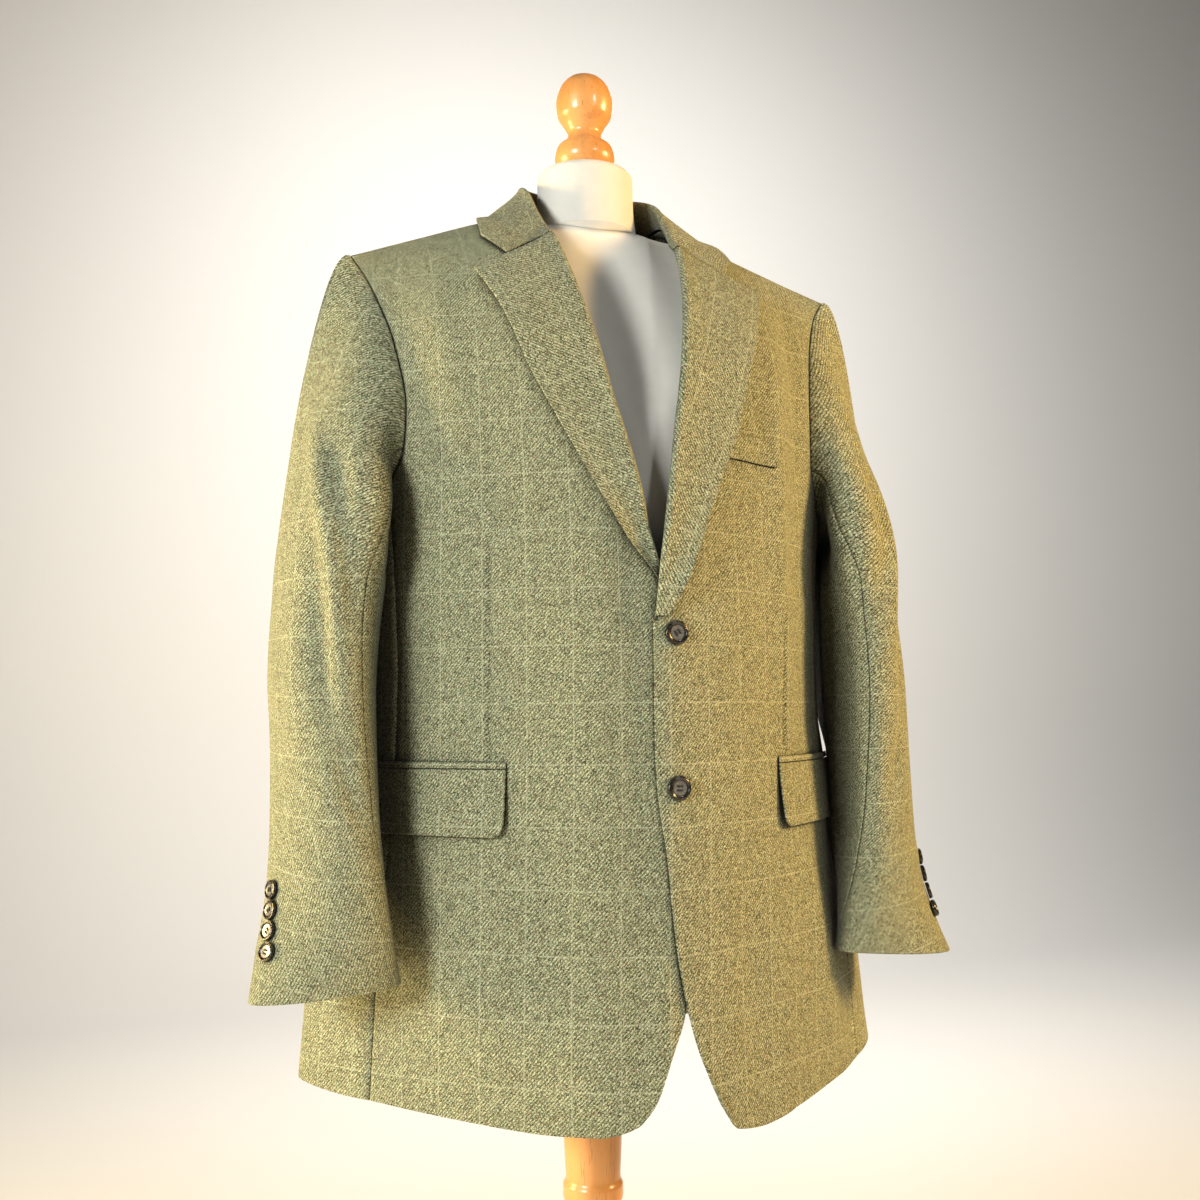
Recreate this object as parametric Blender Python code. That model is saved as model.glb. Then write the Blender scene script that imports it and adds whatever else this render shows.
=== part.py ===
"""A tweed jacket on a limbless dress form, in metres, +Z up.

The origin is on the floor, on the axis of the form's pole. +X is the wearer's left and -Y is
the front. Each piece of cloth is a wall of even thickness: a grid of points is laid on the
jacket's outer surface, and a second grid one thickness behind it closes the wall. A piece is
worked out on its own side, where x grows away from the centre, and the wearer's right is the
mirror image of that.
"""

import math
from collections import namedtuple

import bpy
import numpy as np

# Cloth
CLOTH = 0.002  # tweed with its lining
SEAM = 0.0003  # gap that neighbours keep
LIE = 0.0012  # gap under a lapel or collar that lies on a panel
PATCH_LIE = 0.0008  # gap under a flap, jet or welt

# Horizontal sections of the body, all round at one height: half of the width, the y of the
# front and of the back, the y where it is widest, and the power of the front's curve.
Ring = namedtuple("Ring", "height half_width front back widest power")
RINGS = (
    Ring(0.660, 0.271, -0.203, 0.133, 0.015, 1.30),
    Ring(0.690, 0.268, -0.205, 0.130, 0.015, 1.30),
    Ring(0.800, 0.259, -0.205, 0.120, 0.012, 1.36),
    Ring(0.950, 0.242, -0.211, 0.100, 0.002, 1.45),
    Ring(1.070, 0.235, -0.211, 0.094, -0.003, 1.48),
    Ring(1.140, 0.236, -0.206, 0.100, -0.006, 1.50),
    Ring(1.200, 0.240, -0.196, 0.108, -0.008, 1.54),
    Ring(1.300, 0.246, -0.170, 0.122, -0.010, 1.65),
    Ring(1.420, 0.249, -0.160, 0.113, -0.012, 1.65),
    Ring(1.550, 0.249, -0.160, 0.105, -0.012, 1.65),
)
BACK_POWER = 2.3

# How the skirt on the wearer's left swings out, added to those sections.
Swing = namedtuple("Swing", "height half_width widest power")
LEFT_SWING = (
    Swing(0.660, 0.030, 0.000, 0.15),
    Swing(0.800, 0.022, 0.000, 0.09),
    Swing(0.880, 0.012, 0.000, 0.04),
    Swing(1.000, 0.000, 0.000, 0.00),
)

# The ridge of the shoulders, from the centre back out past the tip of the shoulder.
Ridge = namedtuple("Ridge", "x y height")
RIDGE = (
    Ridge(0.000, 0.0120, 1.5360),
    Ridge(0.035, 0.0040, 1.5160),
    Ridge(0.0715, -0.0050, 1.4860),
    Ridge(0.110, -0.0142, 1.4715),
    Ridge(0.150, -0.0240, 1.4550),
    Ridge(0.190, -0.0340, 1.4378),
    Ridge(0.236, -0.0450, 1.4180),
    Ridge(0.280, -0.0560, 1.3990),
)
NECK_POINT_X = 0.0715
NECK_DEPTH = 0.062  # the back neckline, from the neck points to the nape
SHOULDER_TIP_X = 0.236
SHOULDER_DROP = 0.16  # below the ridge, over which the shoulder rounds into the chest
NECK_DROP = 0.30  # the same at the pit of the neck
NECK_DROP_REACH = 0.12
SHOULDER_POWER = 1.6

# Seams and edges, each by height. Own x grows away from the centre.
Edge = namedtuple("Edge", "height x")
HEM_HEIGHT = 0.690
UNDERARM_HEIGHT = 1.205  # where the side seams meet the armhole
UNDERARM_DROP = 0.022
SHARE_FRONT_SEAM = (Edge(0.660, 0.806), Edge(0.950, 0.830), Edge(1.205, 0.861))
SHARE_BACK_SEAM = (Edge(0.660, 0.860), Edge(0.950, 0.860), Edge(1.205, 0.861))
ARMHOLE_FRONT = (
    Edge(1.205, 0.2071),
    Edge(1.240, 0.1955),
    Edge(1.270, 0.1945),
    Edge(1.335, 0.2025),
    Edge(1.370, 0.2125),
    Edge(1.400, 0.2245),
    Edge(1.418, 0.2360),
)
ARMHOLE_BACK = (
    Edge(1.205, 0.2071),
    Edge(1.270, 0.2000),
    Edge(1.360, 0.2130),
    Edge(1.400, 0.2260),
    Edge(1.418, 0.2360),
)
SIDE_COLUMNS = 9
ARMHOLE_HEIGHTS = (1.205, 1.235, 1.268, 1.302, 1.336, 1.367, 1.391, 1.408, 1.418)

GORGE_HEIGHT = 1.440  # where the gorge seam meets the roll line
LEFT_BREAK = 1.083  # where the wearer's left lapel starts to turn
RIGHT_BREAK = 1.100
LEFT_FRONT_EDGE = (
    Edge(0.690, 0.0520),
    Edge(0.707, 0.0400),
    Edge(0.741, 0.0240),
    Edge(0.788, 0.0110),
    Edge(0.840, 0.0025),
    Edge(0.894, -0.0043),
    Edge(0.945, -0.0118),
    Edge(0.985, -0.0135),
    Edge(1.083, -0.0135),
)
RIGHT_FRONT_EDGE = (
    Edge(0.690, 0.0180),
    Edge(0.700, 0.0113),
    Edge(0.735, -0.0013),
    Edge(0.768, -0.0137),
    Edge(0.800, -0.0180),
    Edge(0.850, -0.0225),
    Edge(0.930, -0.0255),
    Edge(1.100, -0.0255),
)
LEFT_ROLL = (
    Edge(1.083, -0.0125),
    Edge(1.145, -0.0040),
    Edge(1.228, 0.0126),
    Edge(1.303, 0.0310),
    Edge(1.385, 0.0480),
    Edge(1.440, 0.0570),
)
RIGHT_ROLL = (
    Edge(1.100, -0.0090),
    Edge(1.130, 0.0020),
    Edge(1.157, 0.0100),
    Edge(1.218, 0.0212),
    Edge(1.306, 0.0382),
    Edge(1.385, 0.0512),
    Edge(1.440, 0.0580),
)
LEFT_LAPEL_EDGE = (
    Edge(1.0865, 0.0000),
    Edge(1.1015, 0.0072),
    Edge(1.1390, 0.0231),
    Edge(1.2040, 0.0530),
    Edge(1.2530, 0.0785),
    Edge(1.3050, 0.0980),
    Edge(1.3600, 0.1195),
    Edge(1.3960, 0.1335),
)
RIGHT_LAPEL_EDGE = (
    Edge(1.1025, -0.0010),
    Edge(1.1200, 0.0087),
    Edge(1.1510, 0.0300),
    Edge(1.1975, 0.0545),
    Edge(1.2640, 0.0840),
    Edge(1.3050, 0.1010),
    Edge(1.3600, 0.1185),
    Edge(1.3960, 0.1335),
)
LEFT_HEM = (
    Edge(0.052, 0.690),
    Edge(0.060, 0.676),
    Edge(0.072, 0.669),
    Edge(0.118, 0.665),
    Edge(0.157, 0.667),
    Edge(0.216, 0.679),
    Edge(0.270, 0.690),
)
RIGHT_HEM = (
    Edge(0.018, 0.690),
    Edge(0.026, 0.682),
    Edge(0.042, 0.676),
    Edge(0.060, 0.673),
    Edge(0.094, 0.673),
    Edge(0.138, 0.676),
    Edge(0.174, 0.680),
    Edge(0.240, 0.688),
    Edge(0.270, 0.690),
)

# The turn of a lapel or collar, as the outer radius of its fold.
TURN = 0.0042
TURN_AT_BREAK = 0.0023
TURN_LENGTH = 0.090  # of the roll line, over which the turn opens to its full radius
TURN_STEPS = 5
LAP_DEPTH = 0.0034  # how far the right front lies behind the left one
LAPPED_LAPEL_DEPTH = 0.0066  # the same where the right lapel lies between them

# Collar, from the gorge on the roll line round to the centre back.
Collar = namedtuple("Collar", "along fold_x fold_y fold_z edge_x edge_y out_x out_y out_z")
COLLAR = (
    Collar(0.00, 0.0550, -0.0860, 1.440, 0.1215, -0.0690, 0.25, -0.85, 0.45),
    Collar(0.15, 0.0605, -0.0560, 1.472, 0.1190, -0.0420, 0.60, -0.60, 0.50),
    Collar(0.35, 0.0640, -0.0200, 1.508, 0.1080, -0.0080, 0.95, -0.10, 0.30),
    Collar(0.58, 0.0570, 0.0250, 1.529, 0.0900, 0.0330, 0.85, 0.50, 0.20),
    Collar(0.80, 0.0320, 0.0540, 1.537, 0.0500, 0.0660, 0.45, 0.90, 0.15),
    Collar(1.00, 0.0000, 0.0640, 1.540, 0.0000, 0.0760, 0.00, 1.00, 0.15),
)
COLLAR_ALONG = (0.0, 0.05, 0.11, 0.19, 0.27, 0.35, 0.44, 0.54, 0.64, 0.74, 0.83, 0.92, 1.0)
FALL_SHARES = (0.2, 0.4, 0.6, 0.8, 1.0)
COLLAR_BELLY = 0.003
GORGE_GAP = 0.0008
NOTCH = (0.104, 1.4142)  # own x and height of the notch's inner corner

# Sleeves: sections of the arm, square to Z, with the half-axes and the turn of the long one
# from +Y towards the outside.
Arm = namedtuple("Arm", "height x y major minor turn")
ARM = (
    Arm(0.783, 0.2600, -0.1080, 0.0600, 0.0270, 86),
    Arm(0.812, 0.2600, -0.1030, 0.0570, 0.0300, 70),
    Arm(0.860, 0.2590, -0.0930, 0.0560, 0.0335, 46),
    Arm(0.930, 0.2590, -0.0780, 0.0610, 0.0370, 24),
    Arm(1.020, 0.2590, -0.0600, 0.0715, 0.0400, 12),
    Arm(1.125, 0.2520, -0.0400, 0.0830, 0.0435, 6),
)
CUFF_RISE = 0.008  # the inner edge of the cuff above its outer edge
CUFF_RISE_REACH = 0.050
CUFF_ROW_HEIGHTS = (0.783, 0.798, 0.823, 0.857, 0.895, 0.935, 0.975, 1.015, 1.055, 1.092, 1.125)
CAP_ROWS = 8
SLEEVE_CLEARANCE = 0.005

# Pockets
FLAP_TOP = 0.9635
FLAP_DEPTH = 0.055
FLAP_START_X = 0.1215
FLAP_LENGTH = 0.155
FLAP_CORNER = 0.012
JET_HEIGHT = 0.0055
WELT_X = (0.052, 0.127)
WELT_TOP = 1.249
WELT_DEPTH = 0.024
WELT_THICKNESS = 0.0011
PATCH_THICKNESS = 0.0018

# Buttons
FRONT_BUTTON_RADIUS = 0.010
FRONT_BUTTON_X = 0.006
FRONT_BUTTON_HEIGHTS = (1.073, 0.948)
CUFF_BUTTON_RADIUS = 0.0078
CUFF_BUTTON_PITCH = 0.0157
CUFF_BUTTON_LOWEST = 0.8210  # height of the lowest one
CUFF_BUTTON_FACINGS = (68, 64, 59, 52)  # degrees from the front towards the outside, top first
CUFF_BUTTON_GAP = 0.0006
BUTTON_THICKNESS = 0.0036

# Dress form
FORM_INSET = 0.014
FORM_FRONT_INSET = 0.025
FORM_BOTTOM = 0.800
FORM_TOP = 1.474
FORM_ARM_X = 0.226
FORM_POWER = 1.18  # its shoulders are sharper than the cloth over them, so the ridge carries it
RIDGE_GAP = 0.0008
FORM_HEIGHTS = (0.800, 0.860, 0.930, 1.000, 1.070, 1.140, 1.210, 1.270, 1.320, 1.360, 1.390, 1.408)
FORM_RIDGE_STEPS = 7
NECK_TOP = 1.5370

# Materials: base colour, roughness, metallic
FINISHES = {
    "tweed": ((0.155, 0.150, 0.095, 1), 0.95, 0.0),
    "horn": ((0.090, 0.050, 0.028, 1), 0.35, 0.0),
    "jersey": ((0.780, 0.755, 0.700, 1), 0.90, 0.0),
    "wood": ((0.480, 0.240, 0.085, 1), 0.35, 0.0),
}


def through(knots, values, at):
    """Read a smooth curve through the knots that never overshoots them."""
    knots = np.asarray(knots, float)
    values = np.asarray(values, float)
    step = np.diff(knots)
    slope = np.diff(values) / step
    product = slope[1:] * slope[:-1]
    total = np.where(product > 0, slope[1:] + slope[:-1], 1)
    inner = np.where(product > 0, 2 * product / total, 0)
    tangent = np.concatenate([slope[:1], inner, slope[-1:]])
    at = np.clip(at, knots[0], knots[-1])
    cell = np.clip(np.searchsorted(knots, at, side="right") - 1, 0, len(step) - 1)
    f = (at - knots[cell]) / step[cell]
    rise = step[cell] * ((1 - f) * tangent[cell] - f * tangent[cell + 1]) * f * (1 - f)
    ease = f * f * (3 - 2 * f)
    return values[cell] * (1 - ease) + values[cell + 1] * ease + rise


def read(rows, name, at):
    """Read the named column of a table at a value of its first column."""
    return through([row[0] for row in rows], [getattr(row, name) for row in rows], at)


def eased(value, start, end):
    """0 before the start, 1 past the end, and a smooth step between."""
    share = np.clip((value - start) / (end - start), 0, 1)
    return share * share * (3 - 2 * share)


def unit(vectors):
    return vectors / np.linalg.norm(vectors, axis=-1, keepdims=True)


# The jacket's surface


def ridge_height(x):
    return read(RIDGE, "height", np.abs(x))


def ridge_y(x):
    return read(RIDGE, "y", np.abs(x))


def rounded(share, power):
    """Share of the full depth that a shoulder has reached at this share of its drop."""
    share = np.clip(share, 0, 1)
    return (1 - (1 - share) ** power) ** (1 / power)


def front_drop(x):
    reach = np.clip(1 - np.abs(x) / NECK_DROP_REACH, 0, 1)
    return SHOULDER_DROP + (NECK_DROP - SHOULDER_DROP) * reach**2


def ring_value(name, side, x, height):
    """A named size of the body's section, on the half of it where this own x lies."""
    return read(RINGS, name, height) + np.where(side * x > 0, read(LEFT_SWING, name, height), 0)


def front_ring(side, x, height):
    """y of the front of the body's section at this height."""
    share = np.clip(np.abs(x) / ring_value("half_width", side, x, height), 0, 1)
    power = ring_value("power", side, x, height)
    widest = ring_value("widest", side, x, height)
    return widest + (read(RINGS, "front", height) - widest) * (1 - share**power) ** (1 / power)


def back_ring(side, x, height):
    """y of the back of the body's section at this height."""
    share = np.clip(np.abs(x) / ring_value("half_width", side, x, height), 0, 1)
    widest = ring_value("widest", side, x, height)
    depth = read(RINGS, "back", height) - widest
    return widest + depth * (1 - share**BACK_POWER) ** (1 / BACK_POWER)


def front_y(side, x, height):
    """y of the jacket's front surface at this own x and height."""
    drop = rounded((ridge_height(x) - height) / front_drop(x), SHOULDER_POWER)
    return ridge_y(x) + (front_ring(side, x, height) - ridge_y(x)) * drop


def back_y(side, x, height):
    """y of the jacket's back surface at this own x and height."""
    drop = rounded((ridge_height(x) - height) / SHOULDER_DROP, SHOULDER_POWER)
    return ridge_y(x) + (back_ring(side, x, height) - ridge_y(x)) * drop


def shoulder_height(x, y):
    """Height of the jacket's surface on top of the shoulder: front_y and back_y undone in rounds."""
    front = y < ridge_y(x)
    drop_length = np.where(front, front_drop(x), SHOULDER_DROP)
    height = ridge_height(x) - 0.06
    for _ in range(5):
        ring = np.where(front, front_ring(1, x, height), back_ring(1, x, height))
        share = np.clip((y - ridge_y(x)) / (ring - ridge_y(x)), 0, 1)
        drop = 1 - (1 - share**SHOULDER_POWER) ** (1 / SHOULDER_POWER)
        height = ridge_height(x) - drop_length * drop
    return height


def side_x(side, y, height):
    """Half of the body's width at this y and height, or 0 past its front and back."""
    widest = ring_value("widest", side, 1, height)
    ahead = y < widest
    depth = np.where(ahead, widest - read(RINGS, "front", height), read(RINGS, "back", height) - widest)
    power = np.where(ahead, ring_value("power", side, 1, height), BACK_POWER)
    share = np.clip(np.abs(y - widest) / depth, 0, 1)
    return ring_value("half_width", side, 1, height) * (1 - share**power) ** (1 / power)


def front_normal(side, x, height):
    """Outward normal of the front surface, by small differences."""
    step = 1e-4
    slope_x = (front_y(side, x + step, height) - front_y(side, x - step, height)) / (2 * step)
    slope_z = (front_y(side, x, height + step) - front_y(side, x, height - step)) / (2 * step)
    return unit(np.stack([slope_x, -np.ones_like(slope_x), slope_z], axis=-1))


# Grids and walls


def grid_normals(grid, outward):
    """Normals of a grid of points, on the side that the outward direction points to."""
    along = np.gradient(grid, axis=0, edge_order=2)
    across = np.gradient(grid, axis=1, edge_order=2)
    normals = unit(np.cross(along, across))
    return normals if np.sum(normals * outward) > 0 else -normals


def trimmed(grid, first=0.0, last=0.0, bottom=0.0, top=0.0):
    """The grid with the named edges drawn in along its own lines."""
    cut = grid.copy()
    cut[:, 0] += unit(grid[:, 1] - grid[:, 0]) * first
    cut[:, -1] += unit(grid[:, -2] - grid[:, -1]) * last
    cut[0] += unit(grid[1] - grid[0]) * bottom
    cut[-1] += unit(grid[-2] - grid[-1]) * top
    return cut


def wall(outer, normals, thickness):
    """Points and faces of a wall behind an outer grid."""
    rows, columns = outer.shape[:2]
    points = np.concatenate([outer.reshape(-1, 3), (outer - normals * thickness).reshape(-1, 3)])
    index = np.arange(rows * columns).reshape(rows, columns)
    behind = rows * columns
    faces = []
    for row in range(rows - 1):
        for column in range(columns - 1):
            quad = (
                index[row, column],
                index[row, column + 1],
                index[row + 1, column + 1],
                index[row + 1, column],
            )
            faces.append(quad)
            faces.append(tuple(corner + behind for corner in reversed(quad)))
    rim = np.concatenate([index[0], index[1:, -1], index[-1, -2::-1], index[-2:0:-1, 0]])
    for start, end in zip(rim, np.roll(rim, -1)):
        faces.append((end, start, start + behind, end + behind))
    middle = (rows // 2, columns // 2)
    along = outer[middle[0] + 1, middle[1]] - outer[middle]
    across = outer[middle[0], middle[1] + 1] - outer[middle]
    if np.dot(np.cross(across, along), normals[middle]) < 0:
        faces = [tuple(reversed(face)) for face in faces]
    return points, faces


def turned(profile, segments):
    """Points and faces of a solid turned about Z from (radius, height) pairs, bottom first."""
    angles = np.arange(segments) * math.tau / segments
    rings = [
        np.stack([radius * np.cos(angles), radius * np.sin(angles), np.full(segments, height)], axis=1)
        for radius, height in profile
    ]
    points = np.concatenate(rings)
    faces = [tuple(range(segments - 1, -1, -1))]
    for ring in range(len(profile) - 1):
        for step in range(segments):
            after = (step + 1) % segments
            low = ring * segments
            high = low + segments
            faces.append((low + step, low + after, high + after, high + step))
    top = (len(profile) - 1) * segments
    faces.append(tuple(range(top, top + segments)))
    return points, faces


def make_material(name):
    colour, roughness, metallic = FINISHES[name]
    material = bpy.data.materials.new(name)
    material.use_nodes = True
    shader = material.node_tree.nodes["Principled BSDF"]
    shader.inputs["Base Color"].default_value = colour
    shader.inputs["Roughness"].default_value = roughness
    shader.inputs["Metallic"].default_value = metallic
    return material


def make_solid(name, points, faces, material):
    mesh = bpy.data.meshes.new(name)
    mesh.from_pydata([tuple(point) for point in points], [], [tuple(map(int, face)) for face in faces])
    mesh.materials.append(material)
    mesh.shade_smooth()
    mesh.set_sharp_from_angle(angle=math.radians(40))
    solid = bpy.data.objects.new(name, mesh)
    bpy.context.scene.collection.objects.link(solid)
    return solid


def sided(grid, side):
    """A grid or a set of normals on its own side, put on the wearer's left (1) or right (-1)."""
    return grid * np.array([side, 1, 1])


def side_name(side):
    return "left" if side > 0 else "right"


# Fronts, sides and backs


def turn_radius(side, height):
    start = LEFT_BREAK if side > 0 else RIGHT_BREAK
    return TURN_AT_BREAK + (TURN - TURN_AT_BREAK) * eased(height, start, start + TURN_LENGTH)


def front_inner_x(side, height):
    """Own x of a front's inner edge: down the front, then one turn outside the roll line."""
    edge = LEFT_FRONT_EDGE if side > 0 else RIGHT_FRONT_EDGE
    roll = LEFT_ROLL if side > 0 else RIGHT_ROLL
    start = LEFT_BREAK if side > 0 else RIGHT_BREAK
    low = read(edge, "x", height)
    rolled = read(roll, "x", height) + 1.10 * turn_radius(side, height) + SEAM
    gorge_x = roll[-1].x + 1.10 * TURN + SEAM
    neck_height = ridge_height(NECK_POINT_X)
    rise = np.clip((height - GORGE_HEIGHT) / (neck_height - GORGE_HEIGHT), 0, 1)
    high = gorge_x + (NECK_POINT_X - gorge_x) * rise
    return np.where(height < start - 1e-6, low, np.where(height < GORGE_HEIGHT, rolled, high))


def lap_recess(side, x, height):
    """How far the right front lies behind the jacket's surface, near the lap of the left one."""
    if side > 0:
        return np.zeros_like(x)
    lapel = eased(height, 1.060, 1.095) * (1 - eased(height, 1.150, 1.185))
    depth = LAP_DEPTH + (LAPPED_LAPEL_DEPTH - LAP_DEPTH) * lapel
    depth = depth * (1 - eased(height, 1.165, 1.200))
    return depth * (1 - eased(x, 0.020, 0.055))


def front_grid(side):
    """A front, on its own side: rows from the hem up, columns from the front edge out."""
    hem = LEFT_HEM if side > 0 else RIGHT_HEM
    start = LEFT_BREAK if side > 0 else RIGHT_BREAK
    share = np.array([0.0, 0.05, 0.115, 0.19, 0.27, 0.35, 0.43, 0.51, 0.59, 0.67, 0.75, 0.83, 0.91, 1.0])
    tip_height = ridge_height(SHOULDER_TIP_X)
    seam_bottom = read(hem, "x", 0.216)
    inner_bottom = HEM_HEIGHT
    neck_height = ridge_height(NECK_POINT_X)
    break_row = (start - inner_bottom) / (neck_height - inner_bottom)
    armhole_rows = (np.array(ARMHOLE_HEIGHTS) - seam_bottom) / (tip_height - seam_bottom)
    low_rows = np.concatenate([[0.0, 0.025], np.linspace(0.075, break_row - SEAM, 9)])
    between = np.linspace(break_row, armhole_rows[0], 6)[:-1]
    rows = np.concatenate([low_rows, between, armhole_rows])
    inner_height = inner_bottom + rows * (neck_height - inner_bottom)
    outer_height = seam_bottom + rows * (tip_height - seam_bottom)
    inner_x = front_inner_x(side, inner_height)
    seam_x = read(SHARE_FRONT_SEAM, "x", outer_height) * ring_value("half_width", side, 1, outer_height)
    outer_x = np.where(outer_height < UNDERARM_HEIGHT, seam_x, read(ARMHOLE_FRONT, "x", outer_height))
    x = inner_x[:, None] + (outer_x - inner_x)[:, None] * share
    bottom = read(hem, "x", x[0])
    top = ridge_height(x[-1])
    height = bottom + rows[:, None] * (top - bottom)
    seam = height[:, -1] < UNDERARM_HEIGHT + 1e-6
    seam_height = height[seam, -1]
    seam_x = read(SHARE_FRONT_SEAM, "x", seam_height) * ring_value("half_width", side, 1, seam_height)
    x[seam] += (seam_x - x[seam, -1])[:, None] * share
    y = front_y(side, x, height) + lap_recess(side, x, height)
    return np.stack([x, y, height], axis=-1)


def ridge_normal(x):
    """Normal of the cloth on the shoulder seam: square to it, and as near to +Z as can be."""
    step = 1e-3
    along = np.stack(
        [
            np.full_like(x, 2 * step),
            ridge_y(x + step) - ridge_y(x - step),
            ridge_height(x + step) - ridge_height(x - step),
        ],
        axis=-1,
    )
    along = unit(along)
    return unit(np.array([0, 0, 1]) - along * along[..., 2:3])


def side_grid(side, front_heights):
    """A side body: rows from the hem up to the underarm, columns from the front seam back."""
    share = np.linspace(0, 1, SIDE_COLUMNS)
    rows = (front_heights - front_heights[0]) / (front_heights[-1] - front_heights[0])
    hem = front_heights[0] + (HEM_HEIGHT - front_heights[0]) * eased(share, 0, 0.5)
    dip = UNDERARM_DROP * np.sin(np.pi * share) ** 0.8
    height = hem + rows[:, None] * (UNDERARM_HEIGHT - dip - hem)
    half_width = ring_value("half_width", side, 1, height)
    widest = ring_value("widest", side, 1, height)
    power = ring_value("power", side, 1, height)
    first = np.arcsin(read(SHARE_FRONT_SEAM, "x", height) ** (power / 2))
    last = np.pi - np.arcsin(read(SHARE_BACK_SEAM, "x", height) ** (BACK_POWER / 2))
    angle = first + (last - first) * share
    ahead = angle < np.pi / 2
    exponent = np.where(ahead, 2 / power, 2 / BACK_POWER)
    depth = np.where(ahead, read(RINGS, "front", height), read(RINGS, "back", height)) - widest
    x = half_width * np.sin(angle) ** exponent
    y = widest + depth * np.abs(np.cos(angle)) ** exponent
    return np.stack([x, y, height], axis=-1)


def back_grid(side, side_rows):
    """A back: rows from the hem up, columns from the centre back out."""
    share = np.array([0.0, 0.1, 0.2, NECK_POINT_X / SHOULDER_TIP_X, 0.42, 0.54, 0.66, 0.77, 0.86, 0.93, 1.0])
    tip_height = ridge_height(SHOULDER_TIP_X)
    armhole_rows = (np.array(ARMHOLE_HEIGHTS) - HEM_HEIGHT) / (tip_height - HEM_HEIGHT)
    rows = np.concatenate([side_rows[:-1] * armhole_rows[0], armhole_rows])
    outer_height = HEM_HEIGHT + rows * (tip_height - HEM_HEIGHT)
    seam_x = read(SHARE_BACK_SEAM, "x", outer_height) * ring_value("half_width", side, 1, outer_height)
    outer_x = np.where(outer_height < UNDERARM_HEIGHT, seam_x, read(ARMHOLE_BACK, "x", outer_height))
    x = outer_x[:, None] * share
    neck_share = np.clip(x[-1] / NECK_POINT_X, 0, 1)
    neck_y = ridge_y(NECK_POINT_X) + NECK_DEPTH * np.sqrt(1 - neck_share**2)
    neck_height = shoulder_height(x[-1], neck_y)
    top = np.where(neck_share < 1, neck_height, ridge_height(x[-1]))
    height = HEM_HEIGHT + rows[:, None] * (top - HEM_HEIGHT)
    return np.stack([x, back_y(side, x, height), height], axis=-1)


def build_body(side, tweed):
    """The front, side and back of one side. Returns the armhole's points, from the front seam."""
    front = front_grid(side)
    armhole_rows = len(ARMHOLE_HEIGHTS)
    seam_heights = front[: 1 - armhole_rows, -1, 2]
    flank = side_grid(side, seam_heights)
    back = back_grid(side, (seam_heights - seam_heights[0]) / (seam_heights[-1] - seam_heights[0]))
    front_normals = grid_normals(front, np.array([0.2, -1, 0.2]))
    front_normals[-1] = ridge_normal(front[-1, :, 0])
    flank_normals = grid_normals(flank, np.array([1, 0, 0]))
    back_normals = grid_normals(back, np.array([0.2, 1, 0.2]))
    back_normals[-1, 3:] = ridge_normal(back[-1, 3:, 0])
    back_normals[:, 0] = unit(back_normals[:, 0] * np.array([0, 1, 1]))
    seam_rows = len(flank)
    front_seam = unit(front_normals[:seam_rows, -1] + flank_normals[:, 0])
    back_seam = unit(back_normals[:seam_rows, -1] + flank_normals[:, -1])
    front_normals[:seam_rows, -1] = front_seam
    flank_normals[:, 0] = front_seam
    back_normals[:seam_rows, -1] = back_seam
    flank_normals[:, -1] = back_seam
    half = SEAM * 0.55
    pieces = {
        "front": (trimmed(front, last=half, top=half), front_normals),
        "side": (trimmed(flank, first=half, last=half), flank_normals),
        "back": (trimmed(back, first=half, last=half, top=half), back_normals),
    }
    for name, (grid, normals) in pieces.items():
        points, faces = wall(sided(grid, side), sided(normals, side), CLOTH)
        make_solid(f"{name}_{side_name(side)}", points, faces, tweed)
    ring = np.concatenate(
        [
            front[-armhole_rows:, -1],
            back[-2 : -armhole_rows - 1 : -1, -1],
            flank[-1, -2:0:-1],
        ]
    )
    normals = np.concatenate(
        [
            front_normals[-armhole_rows:, -1],
            back_normals[-2 : -armhole_rows - 1 : -1, -1],
            flank_normals[-1, -2:0:-1],
        ]
    )
    return ring, normals


# Lapels and collar


def panel_point(side, x, height):
    return np.stack([x, front_y(side, x, height) + lap_recess(side, x, height), height], axis=-1)


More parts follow.
